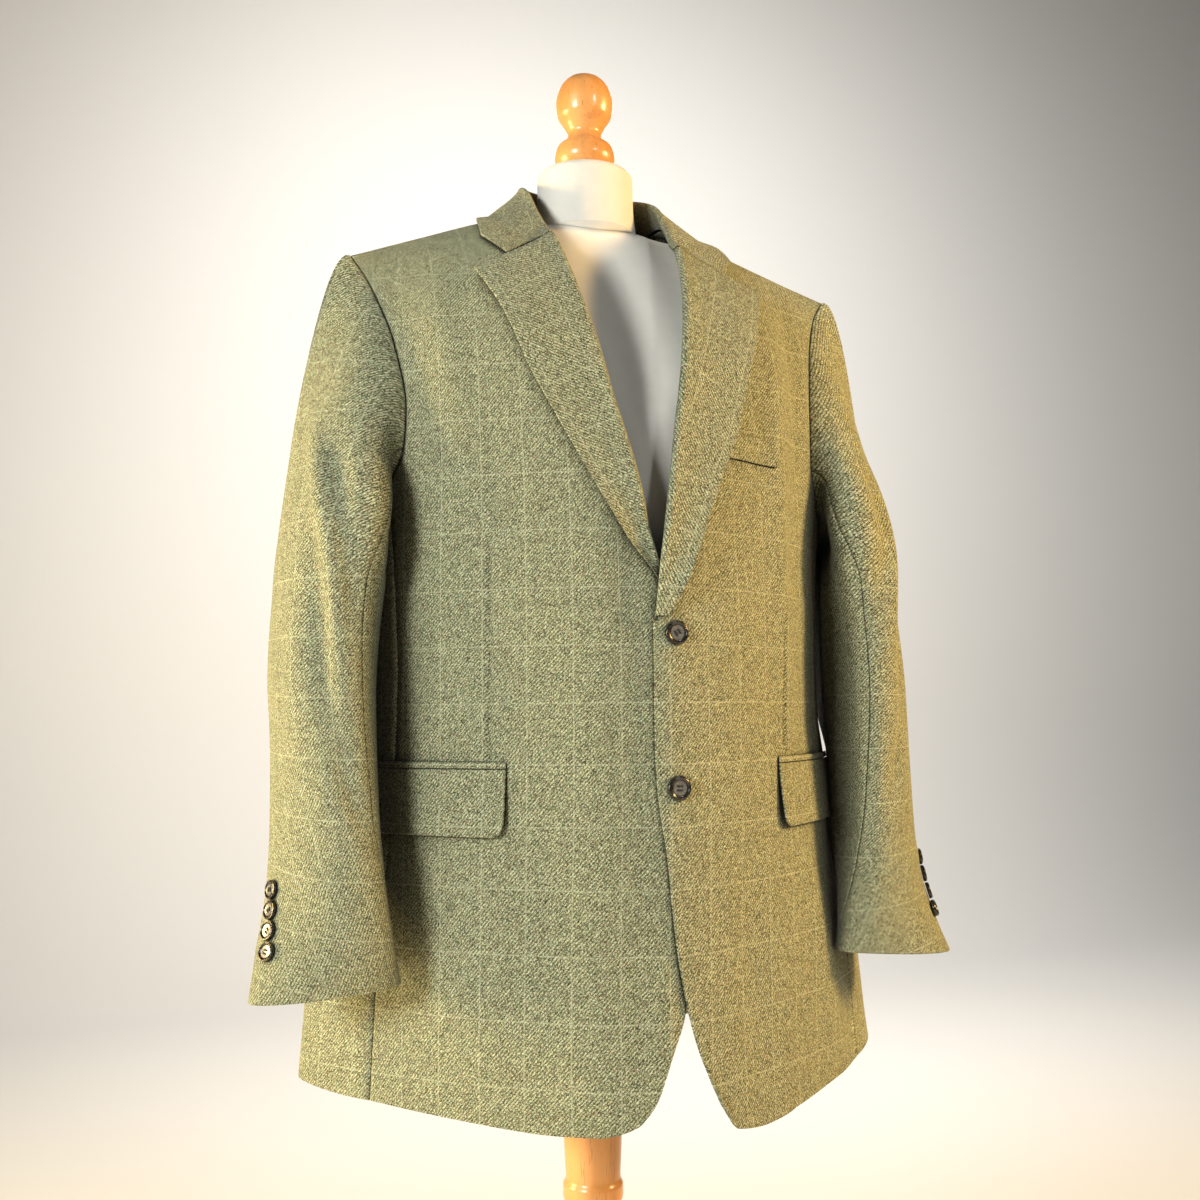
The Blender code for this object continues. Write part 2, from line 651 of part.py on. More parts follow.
def lapel_grid(side):
    """A lapel: rows from its break up to the gorge, columns round the turn and out to the edge."""
    edge = LEFT_LAPEL_EDGE if side > 0 else RIGHT_LAPEL_EDGE
    roll = LEFT_ROLL if side > 0 else RIGHT_ROLL
    along = np.array([0.0, 0.04, 0.1, 0.18, 0.27, 0.36, 0.45, 0.54, 0.63, 0.72, 0.81, 0.9, 1.0])
    roll_height = edge[0].height + along * (GORGE_HEIGHT - edge[0].height)
    edge_height = edge[0].height + along * (edge[-1].height - edge[0].height)
    roll_x = read(roll, "x", roll_height)
    edge_x = read(edge, "x", edge_height)
    radius = turn_radius(side, roll_height)
    length = np.hypot(edge_x - roll_x, edge_height - roll_height)
    start = radius / length
    out = np.array([0.0, 0.14, 0.3, 0.48, 0.66, 0.84, 1.0])
    share = start[:, None] + (1 - start)[:, None] * out
    x = roll_x[:, None] + (edge_x - roll_x)[:, None] * share
    height = roll_height[:, None] + (edge_height - roll_height)[:, None] * share
    base = panel_point(side, x, height)
    normal = front_normal(side, x, height)
    high = (2 * radius - CLOTH)[:, None]
    welt = 0.0012 * np.exp(-(((height - 1.237) / 0.035) ** 2)) if side > 0 else 0.0
    low = CLOTH + LIE + welt
    lift = low + np.maximum(high - low, 0) * (1 - out) ** 2
    fall = base + normal * lift[..., None]
    towards = unit(panel_point(side, x[:, 0] + 1e-3, height[:, 0]) - base[:, 0])
    towards = unit(towards - normal[:, 0] * np.sum(towards * normal[:, 0], axis=1, keepdims=True))
    centre = fall[:, 0] - normal[:, 0] * radius[:, None]
    turn = np.linspace(0, np.pi, TURN_STEPS + 1)[:-1]
    face = -(
        np.cos(turn)[None, :, None] * normal[:, :1] + np.sin(turn)[None, :, None] * towards[:, None]
    )
    arc = centre[:, None] + radius[:, None, None] * face
    return np.concatenate([arc, fall], axis=1), np.concatenate([face, normal], axis=1)


def build_lapel(side, tweed):
    grid, normals = lapel_grid(side)
    grid = trimmed(grid, top=SEAM)
    points, faces = wall(sided(grid, side), sided(normals, side), CLOTH)
    make_solid(f"lapel_{side_name(side)}", points, faces, tweed)


def neckline(side, along):
    """The edge of the panels round the neck, from the gorge (0) by the neck point to the nape (1)."""
    corner = 0.30
    roll = LEFT_ROLL if side > 0 else RIGHT_ROLL
    gorge_x = roll[-1].x + 1.10 * TURN + SEAM
    rise = np.clip(along / corner, 0, 1)
    front_x = gorge_x + (NECK_POINT_X - gorge_x) * rise
    front_height = GORGE_HEIGHT + (ridge_height(NECK_POINT_X) - GORGE_HEIGHT) * rise
    front = np.stack([front_x, front_y(side, front_x, front_height), front_height], axis=-1)
    turn = np.clip((along - corner) / (1 - corner), 0, 1) * np.pi / 2
    back_x = NECK_POINT_X * np.cos(turn)
    back_plan = ridge_y(NECK_POINT_X) + NECK_DEPTH * np.sin(turn)
    back = np.stack([back_x, back_plan, shoulder_height(back_x, back_plan)], axis=-1)
    return np.where((along < corner)[..., None], front, back)


def lifted(points, least):
    """The points, moved out of the body wherever they lie nearer to its surface than this."""
    lifted_points = points.copy()
    for _ in range(3):
        x, y, height = lifted_points[..., 0], lifted_points[..., 1], lifted_points[..., 2]
        shoulder = shoulder_height(x, y)
        slope_x = (shoulder_height(x + 1e-3, y) - shoulder_height(x - 1e-3, y)) / 2e-3
        slope_y = (shoulder_height(x, y + 1e-3) - shoulder_height(x, y - 1e-3)) / 2e-3
        normal = unit(np.stack([-slope_x, -slope_y, np.ones_like(slope_x)], axis=-1))
        distance = (height - shoulder) * normal[..., 2]
        lifted_points += normal * np.maximum(least - distance, 0)[..., None]
    return lifted_points


def half_collar(side):
    """Half of the collar and its normals: rows from the stand's seam over the fold to the edge."""
    along = np.array(COLLAR_ALONG)
    roll = LEFT_ROLL if side > 0 else RIGHT_ROLL
    fold = np.stack([read(COLLAR, name, along) for name in ("fold_x", "fold_y", "fold_z")], axis=-1)
    fold[:, 0] += (roll[-1].x - COLLAR[0].fold_x) * (1 - eased(along, 0, 0.5))
    start_height = GORGE_HEIGHT + GORGE_GAP
    gorge_x = np.array([fold[0, 0]])
    gorge_normal = front_normal(side, gorge_x, np.array([start_height]))
    fold[0] = panel_point(side, gorge_x, np.array([start_height]))[0] + gorge_normal[0] * (TURN - CLOTH)
    outward = np.stack([read(COLLAR, name, along) for name in ("out_x", "out_y", "out_z")], axis=-1)
    outward[0] = gorge_normal[0]
    tangent = unit(np.gradient(fold, along, axis=0, edge_order=2))
    tangent[-1] = (-1, 0, 0)
    out = unit(outward - tangent * np.sum(outward * tangent, axis=1, keepdims=True))
    down = unit(np.cross(tangent, out))
    centre = fold + down * TURN
    turn = np.linspace(0, np.pi, TURN_STEPS + 1)
    face = -(np.cos(turn)[:, None, None] * out + np.sin(turn)[:, None, None] * down)
    arc = centre + TURN * face
    level = eased(along, 0.05, 0.30)[:, None]
    seam = neckline(side, along) - out * CLOTH + level * (0, 0, 0.0022) - (1 - level) * (0.0005, 0, 0)
    stand = np.stack([seam + (arc[0] - seam) * step for step in (0.0, 0.5)])
    over = CLOTH + LIE
    edge_x = read(COLLAR, "edge_x", along)
    edge_y = read(COLLAR, "edge_y", along)
    edge = np.stack([edge_x, edge_y, shoulder_height(edge_x, edge_y)], axis=-1)
    shares = np.array(FALL_SHARES)[:, None, None]
    fall = arc[-1] + (edge - arc[-1]) * shares + out * COLLAR_BELLY * np.sin(np.pi * shares)
    notch_x, notch_height = NOTCH
    steps = np.clip(np.array(FALL_SHARES) / FALL_SHARES[2], 0, 1)
    end_x = arc[-1, 0, 0] + (notch_x - arc[-1, 0, 0]) * steps
    end_height = start_height + (notch_height - start_height) * steps
    fall[:, 0] = panel_point(side, end_x, end_height) + front_normal(side, end_x, end_height) * over
    tip_steps = np.clip((np.array(FALL_SHARES) - FALL_SHARES[2]) / (1 - FALL_SHARES[2]), 0, 1)
    fall[:, 0] += (edge[0] - fall[2, 0]) * tip_steps[:, None]
    fall = lifted(fall, over)
    flap = np.concatenate([arc[-1:], fall])
    fall_normals = grid_normals(flap, out[None])[1:]
    normals = np.concatenate([np.stack([-out, -out]), face, fall_normals])
    return np.concatenate([stand, arc, fall]), normals


def build_collar(tweed):
    left, left_normals = half_collar(1)
    right, right_normals = half_collar(-1)
    grid = np.concatenate([left, sided(right, -1)[:, -2::-1]], axis=1)
    normals = np.concatenate([left_normals, sided(right_normals, -1)[:, -2::-1]], axis=1)
    points, faces = wall(grid, normals, CLOTH)
    make_solid("collar", points, faces, tweed)


# Sleeves


def arm_point(height, turn):
    """A point of the arm's section at this height, at an angle from its back towards outside."""
    axis = np.radians(read(ARM, "turn", height))
    long_way = read(ARM, "major", height) * np.cos(turn)
    short_way = read(ARM, "minor", height) * np.sin(turn)
    x = read(ARM, "x", height) + long_way * np.sin(axis) + short_way * np.cos(axis)
    y = read(ARM, "y", height) + long_way * np.cos(axis) - short_way * np.sin(axis)
    inner = np.clip((read(ARM, "x", height) - x) / 0.06, -1, 1)
    rise = CUFF_RISE * (0.5 + 0.5 * inner) * np.exp(-(height - ARM[0].height) / CUFF_RISE_REACH)
    return np.stack([x, y, height + rise], axis=-1)


def sleeve_turns(ring):
    """Angles on the arm that face each point of the armhole."""
    rows = len(ARMHOLE_HEIGHTS) - 1
    closed = np.concatenate([ring, ring[:1]])
    length = np.concatenate([[0], np.cumsum(np.linalg.norm(np.diff(closed, axis=0), axis=1))])
    knots = length[[0, rows, 2 * rows, len(ring)]]
    return np.radians(np.interp(length[:-1], knots, [215, 90, -35, -145]))


def sleeve_grid(side, ring, normals):
    """The whole sleeve: rows from the cuff up to the armhole, columns round from its front seam."""
    turns = sleeve_turns(ring)
    heights = np.array(CUFF_ROW_HEIGHTS)
    arm = arm_point(heights[:, None] + 0 * turns, turns[None] + 0 * heights[:, None])
    centre = ring.mean(axis=0)
    radial = unit((ring - centre) * np.array([0, 1, 1]))
    into_hole = unit(np.cross(np.roll(ring, -1, axis=0) - np.roll(ring, 1, axis=0), normals))
    into_hole *= np.where(np.sum(into_hole * radial, axis=1, keepdims=True) > 0, -1, 1)
    end = ring + (into_hole + normals) * 0.0004
    top_share = np.clip(radial[:, 2:3], 0, 1)
    bottom_share = np.clip(-radial[:, 2:3], 0, 1)
    leave = unit(np.array([1, 0, 0]) + radial * 0.30)
    leave_length = 0.030 - 0.004 * top_share - 0.006 * bottom_share
    rise = arm[-1] - arm[-2]
    low_length = 0.030 + 0.080 * top_share - 0.012 * bottom_share
    low_handle = arm[-1] + unit(rise) * low_length
    high_handle = end + leave * leave_length
    t = np.linspace(0, 1, CAP_ROWS + 1)[1:, None, None]
    cap = (
        arm[-1] * (1 - t) ** 3
        + 3 * low_handle * t * (1 - t) ** 2
        + 3 * high_handle * t**2 * (1 - t)
        + end * t**3
    )
    grid = np.concatenate([arm, cap])
    clearance = SLEEVE_CLEARANCE * (1 - 0.5 * eased(grid[..., 2], 1.12, 1.18))
    clear = side_x(side, grid[..., 1], grid[..., 2]) + clearance
    under = (grid[..., 2] < 1.183) & (np.arange(len(grid))[:, None] < len(grid) - 1)
    gap = grid[..., 0] - clear
    soft = 0.006
    pushed = clear + np.where(gap > soft, gap, soft * np.exp(np.minimum(gap - soft, 0) / soft))
    grid[..., 0] = np.where(under, np.where(gap > soft, grid[..., 0], pushed), grid[..., 0])
    return grid


def build_sleeve(side, ring, normals, tweed, horn):
    grid = sleeve_grid(side, ring, normals)
    count = grid.shape[1]
    wrapped = np.concatenate([grid[:, -2:], grid, grid[:, :2]], axis=1)
    centre = grid.mean(axis=1, keepdims=True)
    sleeve_normals = grid_normals(wrapped, wrapped - centre)[:, 2:-2]
    front_seam = 1
    back_seam = 2 * (len(ARMHOLE_HEIGHTS) - 1) - 2
    parts = {
        "top_sleeve": np.arange(front_seam, back_seam + 1),
        "under_sleeve": np.arange(back_seam, count + front_seam + 1) % count,
    }
    for name, columns in parts.items():
        cut = trimmed(grid[:, columns], first=SEAM * 0.6, last=SEAM * 0.6)
        points, faces = wall(sided(cut, side), sided(sleeve_normals[:, columns], side), CLOTH)
        make_solid(f"{name}_{side_name(side)}", points, faces, tweed)
    build_cuff_buttons(side, horn)


# Buttons


def button_shape(radius, segments):
    thickness = BUTTON_THICKNESS
    profile = (
        (radius * 0.82, 0.0),
        (radius, thickness * 0.50),
        (radius * 0.90, thickness),
        (radius * 0.62, thickness * 0.75),
    )
    return turned(profile, segments)


def build_button(name, radius, segments, place, normal, material):
    """A button whose back lies on the point, square to the normal."""
    points, faces = button_shape(radius, segments)
    normal = unit(normal)
    across = unit(np.cross(np.array([0, 0, 1.0]), normal))
    up = np.cross(normal, across)
    placed = place + points @ np.stack([across, up, normal])
    make_solid(name, placed, faces, material)


def build_front_buttons(horn):
    x = np.array([FRONT_BUTTON_X])
    for number, height in enumerate(FRONT_BUTTON_HEIGHTS, start=1):
        heights = np.array([height])
        normal = front_normal(1, x, heights)[0] * np.array([0.4, 1, 1])
        place = panel_point(1, x, heights)[0] + unit(normal) * SEAM
        build_button(f"front_button_{number}", FRONT_BUTTON_RADIUS, 20, place, normal, horn)


def build_cuff_buttons(side, horn):
    for number, facing in enumerate(np.radians(CUFF_BUTTON_FACINGS), start=1):
        normal = np.array([math.sin(facing), -math.cos(facing), 0])
        height = CUFF_BUTTON_LOWEST + (len(CUFF_BUTTON_FACINGS) - number) * CUFF_BUTTON_PITCH
        axis = math.radians(read(ARM, "turn", height))
        along_major = normal[0] * math.sin(axis) + normal[1] * math.cos(axis)
        along_minor = normal[0] * math.cos(axis) - normal[1] * math.sin(axis)
        turn = math.atan2(along_minor * read(ARM, "minor", height), along_major * read(ARM, "major", height))
        step = 1e-3
        round_arm = arm_point(height, turn + step) - arm_point(height, turn - step)
        up_arm = arm_point(height + step, turn) - arm_point(height - step, turn)
        square = unit(np.cross(round_arm, up_arm))
        square *= np.sign(np.dot(square, normal))
        place = arm_point(height, turn) + square * CUFF_BUTTON_GAP
        name = f"cuff_button_{side_name(side)}_{number}"
        build_button(name, CUFF_BUTTON_RADIUS, 12, sided(place, side), sided(square, side), horn)


# Pockets


def ring_walk(side, start_x, height, lengths):
    """Points on the body at one height, at lengths from a start on the front."""
    half_width = ring_value("half_width", side, 1, height)
    power = ring_value("power", side, 1, height)
    widest = ring_value("widest", side, 1, height)
    angle = np.linspace(0, np.pi * 0.65, 400)
    ahead = angle < np.pi / 2
    exponent = np.where(ahead, 2 / power, 2 / BACK_POWER)
    depth = np.where(ahead, read(RINGS, "front", height) - widest, read(RINGS, "back", height) - widest)
    x = half_width * np.sin(angle) ** exponent
    y = widest + depth * np.abs(np.cos(angle)) ** exponent
    length = np.concatenate([[0], np.cumsum(np.hypot(np.diff(x), np.diff(y)))])
    start = np.interp(start_x, x[ahead], length[ahead])
    at_x = np.interp(start + lengths, length, x)
    at_y = np.interp(start + lengths, length, y)
    return np.stack([at_x, at_y, np.full_like(at_x, height)], axis=-1)


def patch_grid(side, start_x, heights, lengths):
    return np.stack([ring_walk(side, start_x, height, lengths) for height in heights])


def build_pocket(side, tweed):
    lengths = np.linspace(0, FLAP_LENGTH, 13)
    lengths = np.concatenate([[0, FLAP_CORNER * 0.3, FLAP_CORNER], lengths[2:]])
    levels = np.array([0.0, 0.1, 0.24, 0.5, 0.78, 1.0])
    heights = FLAP_TOP - FLAP_DEPTH * (1 - levels)
    grid = patch_grid(side, FLAP_START_X, heights, lengths)
    for column, length in enumerate(lengths):
        if length >= FLAP_CORNER:
            continue
        inset = FLAP_CORNER - math.sqrt(FLAP_CORNER**2 - (FLAP_CORNER - length) ** 2)
        bottom = heights[0] + inset
        for row, level in enumerate(levels):
            height = bottom + (FLAP_TOP - bottom) * level
            grid[row, column] = ring_walk(side, FLAP_START_X, height, np.array([length]))[0]
    for name, patch in (("flap", grid), ("jet", jet_grid(side, lengths))):
        normals = grid_normals(patch, np.array([1, -1, 0]))
        outer = patch + normals * (PATCH_THICKNESS + PATCH_LIE)
        points, faces = wall(sided(outer, side), sided(normals, side), PATCH_THICKNESS)
        make_solid(f"{name}_{side_name(side)}", points, faces, tweed)


def jet_grid(side, lengths):
    heights = np.linspace(FLAP_TOP + SEAM, FLAP_TOP + SEAM + JET_HEIGHT, 3)
    return patch_grid(side, FLAP_START_X, heights, lengths[::2])


def build_welt(tweed):
    x = np.linspace(*WELT_X, 8)
    rows = np.linspace(0, 1, 3)
    tilt = (WELT_X[1] - x) * 0.03
    height = WELT_TOP - WELT_DEPTH * (1 - rows[:, None]) + tilt
    x = x + 0 * height
    base = panel_point(1, x, height)
    normals = front_normal(1, x, height)
    outer = base + normals * (PATCH_LIE + WELT_THICKNESS)
    points, faces = wall(outer, normals, WELT_THICKNESS)
    make_solid("chest_welt", points, faces, tweed)


# Dress form


def form_slice(height):
    """Half of a horizontal slice of the torso, from the middle of its front to that of its back."""
    xs = np.linspace(0, 0.28, 561)
    ridge = ridge_height(xs) - CLOTH - RIDGE_GAP
    ridge_x = np.interp(-height, -ridge, xs)
    half_width = min(read(RINGS, "half_width", height) - FORM_INSET, FORM_ARM_X + 0.018, ridge_x)
    arm_limit = FORM_ARM_X if height > 1.16 else half_width
    half_width = min(half_width, max(arm_limit, FORM_ARM_X))
    angle = np.linspace(0, np.pi, 23)
    share = np.sin(angle) ** 0.8
    x = half_width * share
    ring_half = read(RINGS, "half_width", height) - FORM_INSET
    ring_share = np.clip(x / ring_half, 0, 1)
    widest = read(RINGS, "widest", height)
    power = read(RINGS, "power", height) + 0.15
    front = read(RINGS, "front", height) + FORM_FRONT_INSET - widest
    back = read(RINGS, "back", height) - FORM_INSET - widest
    front_curve = widest + front * (1 - ring_share**power) ** (1 / power)
    back_curve = widest + back * (1 - ring_share**BACK_POWER) ** (1 / BACK_POWER)
    crest = ridge_y(x)
    drop = np.maximum(np.interp(x, xs, ridge) - height, 0)
    front_share = rounded(drop / front_drop(x), FORM_POWER)
    back_share = rounded(drop / SHOULDER_DROP, FORM_POWER)
    front_line = crest + (front_curve - crest) * front_share
    back_line = crest + (back_curve - crest) * back_share
    y = np.where(angle < np.pi / 2, front_line, back_line)
    return np.stack([x, y, np.full_like(x, height)], axis=-1)


def build_torso(jersey):
    low = list(FORM_HEIGHTS)
    high = np.linspace(FORM_HEIGHTS[-1], FORM_TOP, FORM_RIDGE_STEPS + 1)[1:]
    slices = [form_slice(height) for height in low + list(high)]
    rings = [np.concatenate([half, sided(half[-2:0:-1], -1)]) for half in slices]
    count = len(rings[0])
    points = np.concatenate(rings)
    faces = [tuple(range(count - 1, -1, -1))]
    for ring in range(len(rings) - 1):
        for step in range(count):
            after = (step + 1) % count
            base = ring * count
            faces.append((base + step, base + after, base + count + after, base + count + step))
    top = (len(rings) - 1) * count
    faces.append(tuple(range(top, top + count)))
    make_solid("torso", points, faces, jersey)


def build_form(jersey, wood):
    build_torso(jersey)
    neck = ((0.0500, FORM_TOP + SEAM), (0.0490, 1.485), (0.0475, 1.500), (0.0470, NECK_TOP))
    finial_bottom = NECK_TOP + SEAM
    finial = (
        (0.0205, finial_bottom),
        (0.0205, 1.5410),
        (0.0270, 1.5455),
        (0.0300, 1.5550),
        (0.0280, 1.5650),
        (0.0190, 1.5745),
        (0.0170, 1.5800),
        (0.0200, 1.5870),
        (0.0270, 1.5990),
        (0.0285, 1.6120),
        (0.0250, 1.6260),
        (0.0150, 1.6375),
        (0.0050, 1.6410),
    )
    pole = (
        (0.0300, 0.0253),
        (0.0300, 0.1200),
        (0.0290, 0.5400),
        (0.0260, 0.5560),
        (0.0280, 0.5640),
        (0.0280, 0.5730),
        (0.0255, 0.5800),
        (0.0265, 0.6000),
        (0.0275, 0.6300),
        (0.0275, FORM_BOTTOM - SEAM),
    )
    base = ((0.186, 0.0), (0.190, 0.004), (0.190, 0.016), (0.182, 0.022), (0.060, 0.025))
    make_solid("neck", *turned(neck, 24), jersey)
    make_solid("finial", *turned(finial, 18), wood)
    make_solid("pole", *turned(pole, 20), wood)
    make_solid("base", *turned(base, 36), wood)


def main():
    for existing in list(bpy.data.objects):
        bpy.data.objects.remove(existing)
    tweed, horn, jersey, wood = (make_material(name) for name in ("tweed", "horn", "jersey", "wood"))
    for side in (1, -1):
        ring, normals = build_body(side, tweed)
        build_sleeve(side, ring, normals, tweed, horn)
        build_lapel(side, tweed)
        build_pocket(side, tweed)
    build_collar(tweed)
    build_welt(tweed)
    build_front_buttons(horn)
    build_form(jersey, wood)


if __name__ == "__main__":
    main()
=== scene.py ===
"""Tweed jacket on a limbless dress form: cloth, buttons, form, stand, studio light and camera.

All sizes are metres, +Z up, with the origin on the floor under the form's pole. +X is the
wearer's left and -Y is the front. A piece of cloth is a grid of points on the jacket's surface,
worked out on its own side, where x grows away from the centre.
"""

import logging
import math
from dataclasses import dataclass, field
from enum import Enum

import bpy
import numpy as np
from mathutils import Euler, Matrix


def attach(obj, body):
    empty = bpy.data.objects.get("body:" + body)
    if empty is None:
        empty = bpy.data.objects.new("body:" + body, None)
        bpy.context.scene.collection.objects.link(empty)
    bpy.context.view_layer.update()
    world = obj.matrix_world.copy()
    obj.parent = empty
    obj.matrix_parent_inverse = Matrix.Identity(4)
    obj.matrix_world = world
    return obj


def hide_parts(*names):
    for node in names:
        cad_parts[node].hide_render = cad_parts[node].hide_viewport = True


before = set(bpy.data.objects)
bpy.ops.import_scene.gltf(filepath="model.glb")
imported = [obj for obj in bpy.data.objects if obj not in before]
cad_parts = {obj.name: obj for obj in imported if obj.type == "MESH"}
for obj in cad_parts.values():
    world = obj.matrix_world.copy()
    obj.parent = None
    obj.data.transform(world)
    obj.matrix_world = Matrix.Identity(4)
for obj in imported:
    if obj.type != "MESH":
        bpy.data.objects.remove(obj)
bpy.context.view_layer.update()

Array = np.ndarray
Row = tuple[float, ...]
Pair = tuple[float, float]
Triple = tuple[float, float, float]
Colour = tuple[float, float, float, float]
Profile = tuple[Pair, ...]
Piece = bpy.types.Object
Material = bpy.types.Material
Socket = bpy.types.NodeSocket
LOG = logging.getLogger("jacket")
BODY = "root"
MM = 1000
LEAST_FLAT = 0.011


# Small tools for surfaces


def through(knots: Array, values: Array, at: Array) -> Array:
    """Read a smooth curve through knots: cubic Hermite pieces that never overshoot them.

    The slope at a knot is the harmonic mean of its neighbours' slopes.

    Args:
        knots: where the curve is known, rising.
        values: its values there.
        at: where to read it; past the ends it stays level.

    Returns:
        The curve's values, in the shape of at.
    """
    step = np.diff(knots)
    slope = np.diff(values) / step
    product = slope[1:] * slope[:-1]
    total = np.where(product > 0, slope[1:] + slope[:-1], 1.0)
    inner = np.where(product > 0, 2 * product / total, 0.0)
    tangent = np.concatenate([slope[:1], inner, slope[-1:]])
    at = np.clip(at, knots[0], knots[-1])
    cell = np.clip(np.searchsorted(knots, at, side="right") - 1, 0, len(step) - 1)
    f = (at - knots[cell]) / step[cell]
    rise = step[cell] * ((1 - f) * tangent[cell] - f * tangent[cell + 1]) * f * (1 - f)
    ease = f * f * (3 - 2 * f)
    return values[cell] * (1 - ease) + values[cell + 1] * ease + rise


def eased(value: Array, start: float, end: float) -> Array:
    """Return 0 before start, 1 past end, and the smooth step 3s^2 - 2s^3 between."""
    share = np.clip((value - start) / (end - start), 0, 1)
    return share * share * (3 - 2 * share)


def bowed(share: Array, power: Array | float) -> Array:
    """Return the quarter superellipse (1 - s^power)^(1 / power) of a share held in 0 to 1."""
    return (1 - np.clip(share, 0, 1) ** power) ** (1 / power)


def together(*parts: Array) -> Array:
    """Return arrays joined as the coordinates or corners of one, along a new last axis."""
    return np.stack(parts, axis=-1)


def unit(vectors: Array) -> Array:
    """Return the vectors, each divided by its own length."""
    return vectors / np.maximum(np.linalg.norm(vectors, axis=-1, keepdims=True), 1e-12)


def refine(values: Array, steps: int) -> Array:
    """Return the values with each gap between two of them cut into equal steps."""
    values = np.asarray(values, float)
    place = np.linspace(0, len(values) - 1, (len(values) - 1) * steps + 1)
    return np.interp(place, np.arange(len(values)), values)


def lengths(points: Array, axis: int) -> Array:
    """Return the length run along an axis of a grid, as the running sum of its steps."""
    steps = np.linalg.norm(np.diff(points, axis=axis), axis=-1)
    start = np.zeros_like(np.take(steps, [0], axis=axis))
    return np.concatenate([start, np.cumsum(steps, axis=axis)], axis=axis)


def quads(index: Array, closed: bool = False) -> Array:
    """Return the corners of a grid's cells, by its points' numbers, round to its start if closed."""
    if closed:
        index = np.concatenate([index, index[:, :1]], axis=1)
    return together(index[:-1, :-1], index[:-1, 1:], index[1:, 1:], index[1:, :-1]).reshape(-1, 4)


def grid_normals(grid: Array, outward: Array) -> Array:
    """Return a grid's normals, the cross product of its two directions turned to face outward.

    Args:
        grid: points, by row and column.
        outward: roughly where the face looks, one vector or one for each point.

    Returns:
        Unit normals, one for each point.
    """
    along, across = np.gradient(grid, axis=(0, 1), edge_order=2)
    normals = unit(np.cross(along, across))
    return normals if np.sum(normals * outward) > 0 else -normals


def trimmed(grid: Array, first: float = 0, last: float = 0, bottom: float = 0, top: float = 0) -> Array:
    """Return the grid with the named edges drawn in, by lengths along its own lines."""
    cut = grid.copy()
    cut[:, 0] += unit(grid[:, 1] - grid[:, 0]) * first
    cut[:, -1] += unit(grid[:, -2] - grid[:, -1]) * last
    cut[0] += unit(grid[1] - grid[0]) * bottom
    cut[-1] += unit(grid[-2] - grid[-1]) * top
    return cut


def placed(name: str, data: bpy.types.ID) -> Piece:
    """Return a new object of the scene that shows this data."""
    thing = bpy.data.objects.new(name, data)
    bpy.context.scene.collection.objects.link(thing)
    return thing


class Side(Enum):
    """A half of the jacket, named for its wearer."""

    LEFT = 1
    RIGHT = -1

    @property
    def word(self) -> str:
        """The side's name in lower case."""
        return self.name.lower()

    def place(self, grid: Array) -> Array:
        """Return points or normals of the own side, put on this half of the jacket."""
        return grid * np.array([self.value, 1.0, 1.0])


@dataclass(frozen=True)
class Table:
    """Named sizes by a first column, read as smooth curves."""

    columns: str
    rows: tuple[Row, ...]

    def read(self, name: str, at: Array) -> Array:
        """Return the named column at values of the first one."""
        column = self.columns.split().index(name)
        table = np.array(self.rows)
        return through(table[:, 0], table[:, column], at)

    @property
    def first(self) -> Row:
        """The first row."""
        return self.rows[0]

    @property
    def last(self) -> Row:
        """The last row."""
        return self.rows[-1]


def curve(columns: str, rows: tuple[Row, ...]) -> Table:
    """Return a table of sizes that are given in millimetres."""
    return Table(columns, tuple(tuple(size / MM for size in row) for row in rows))


# The jacket's form


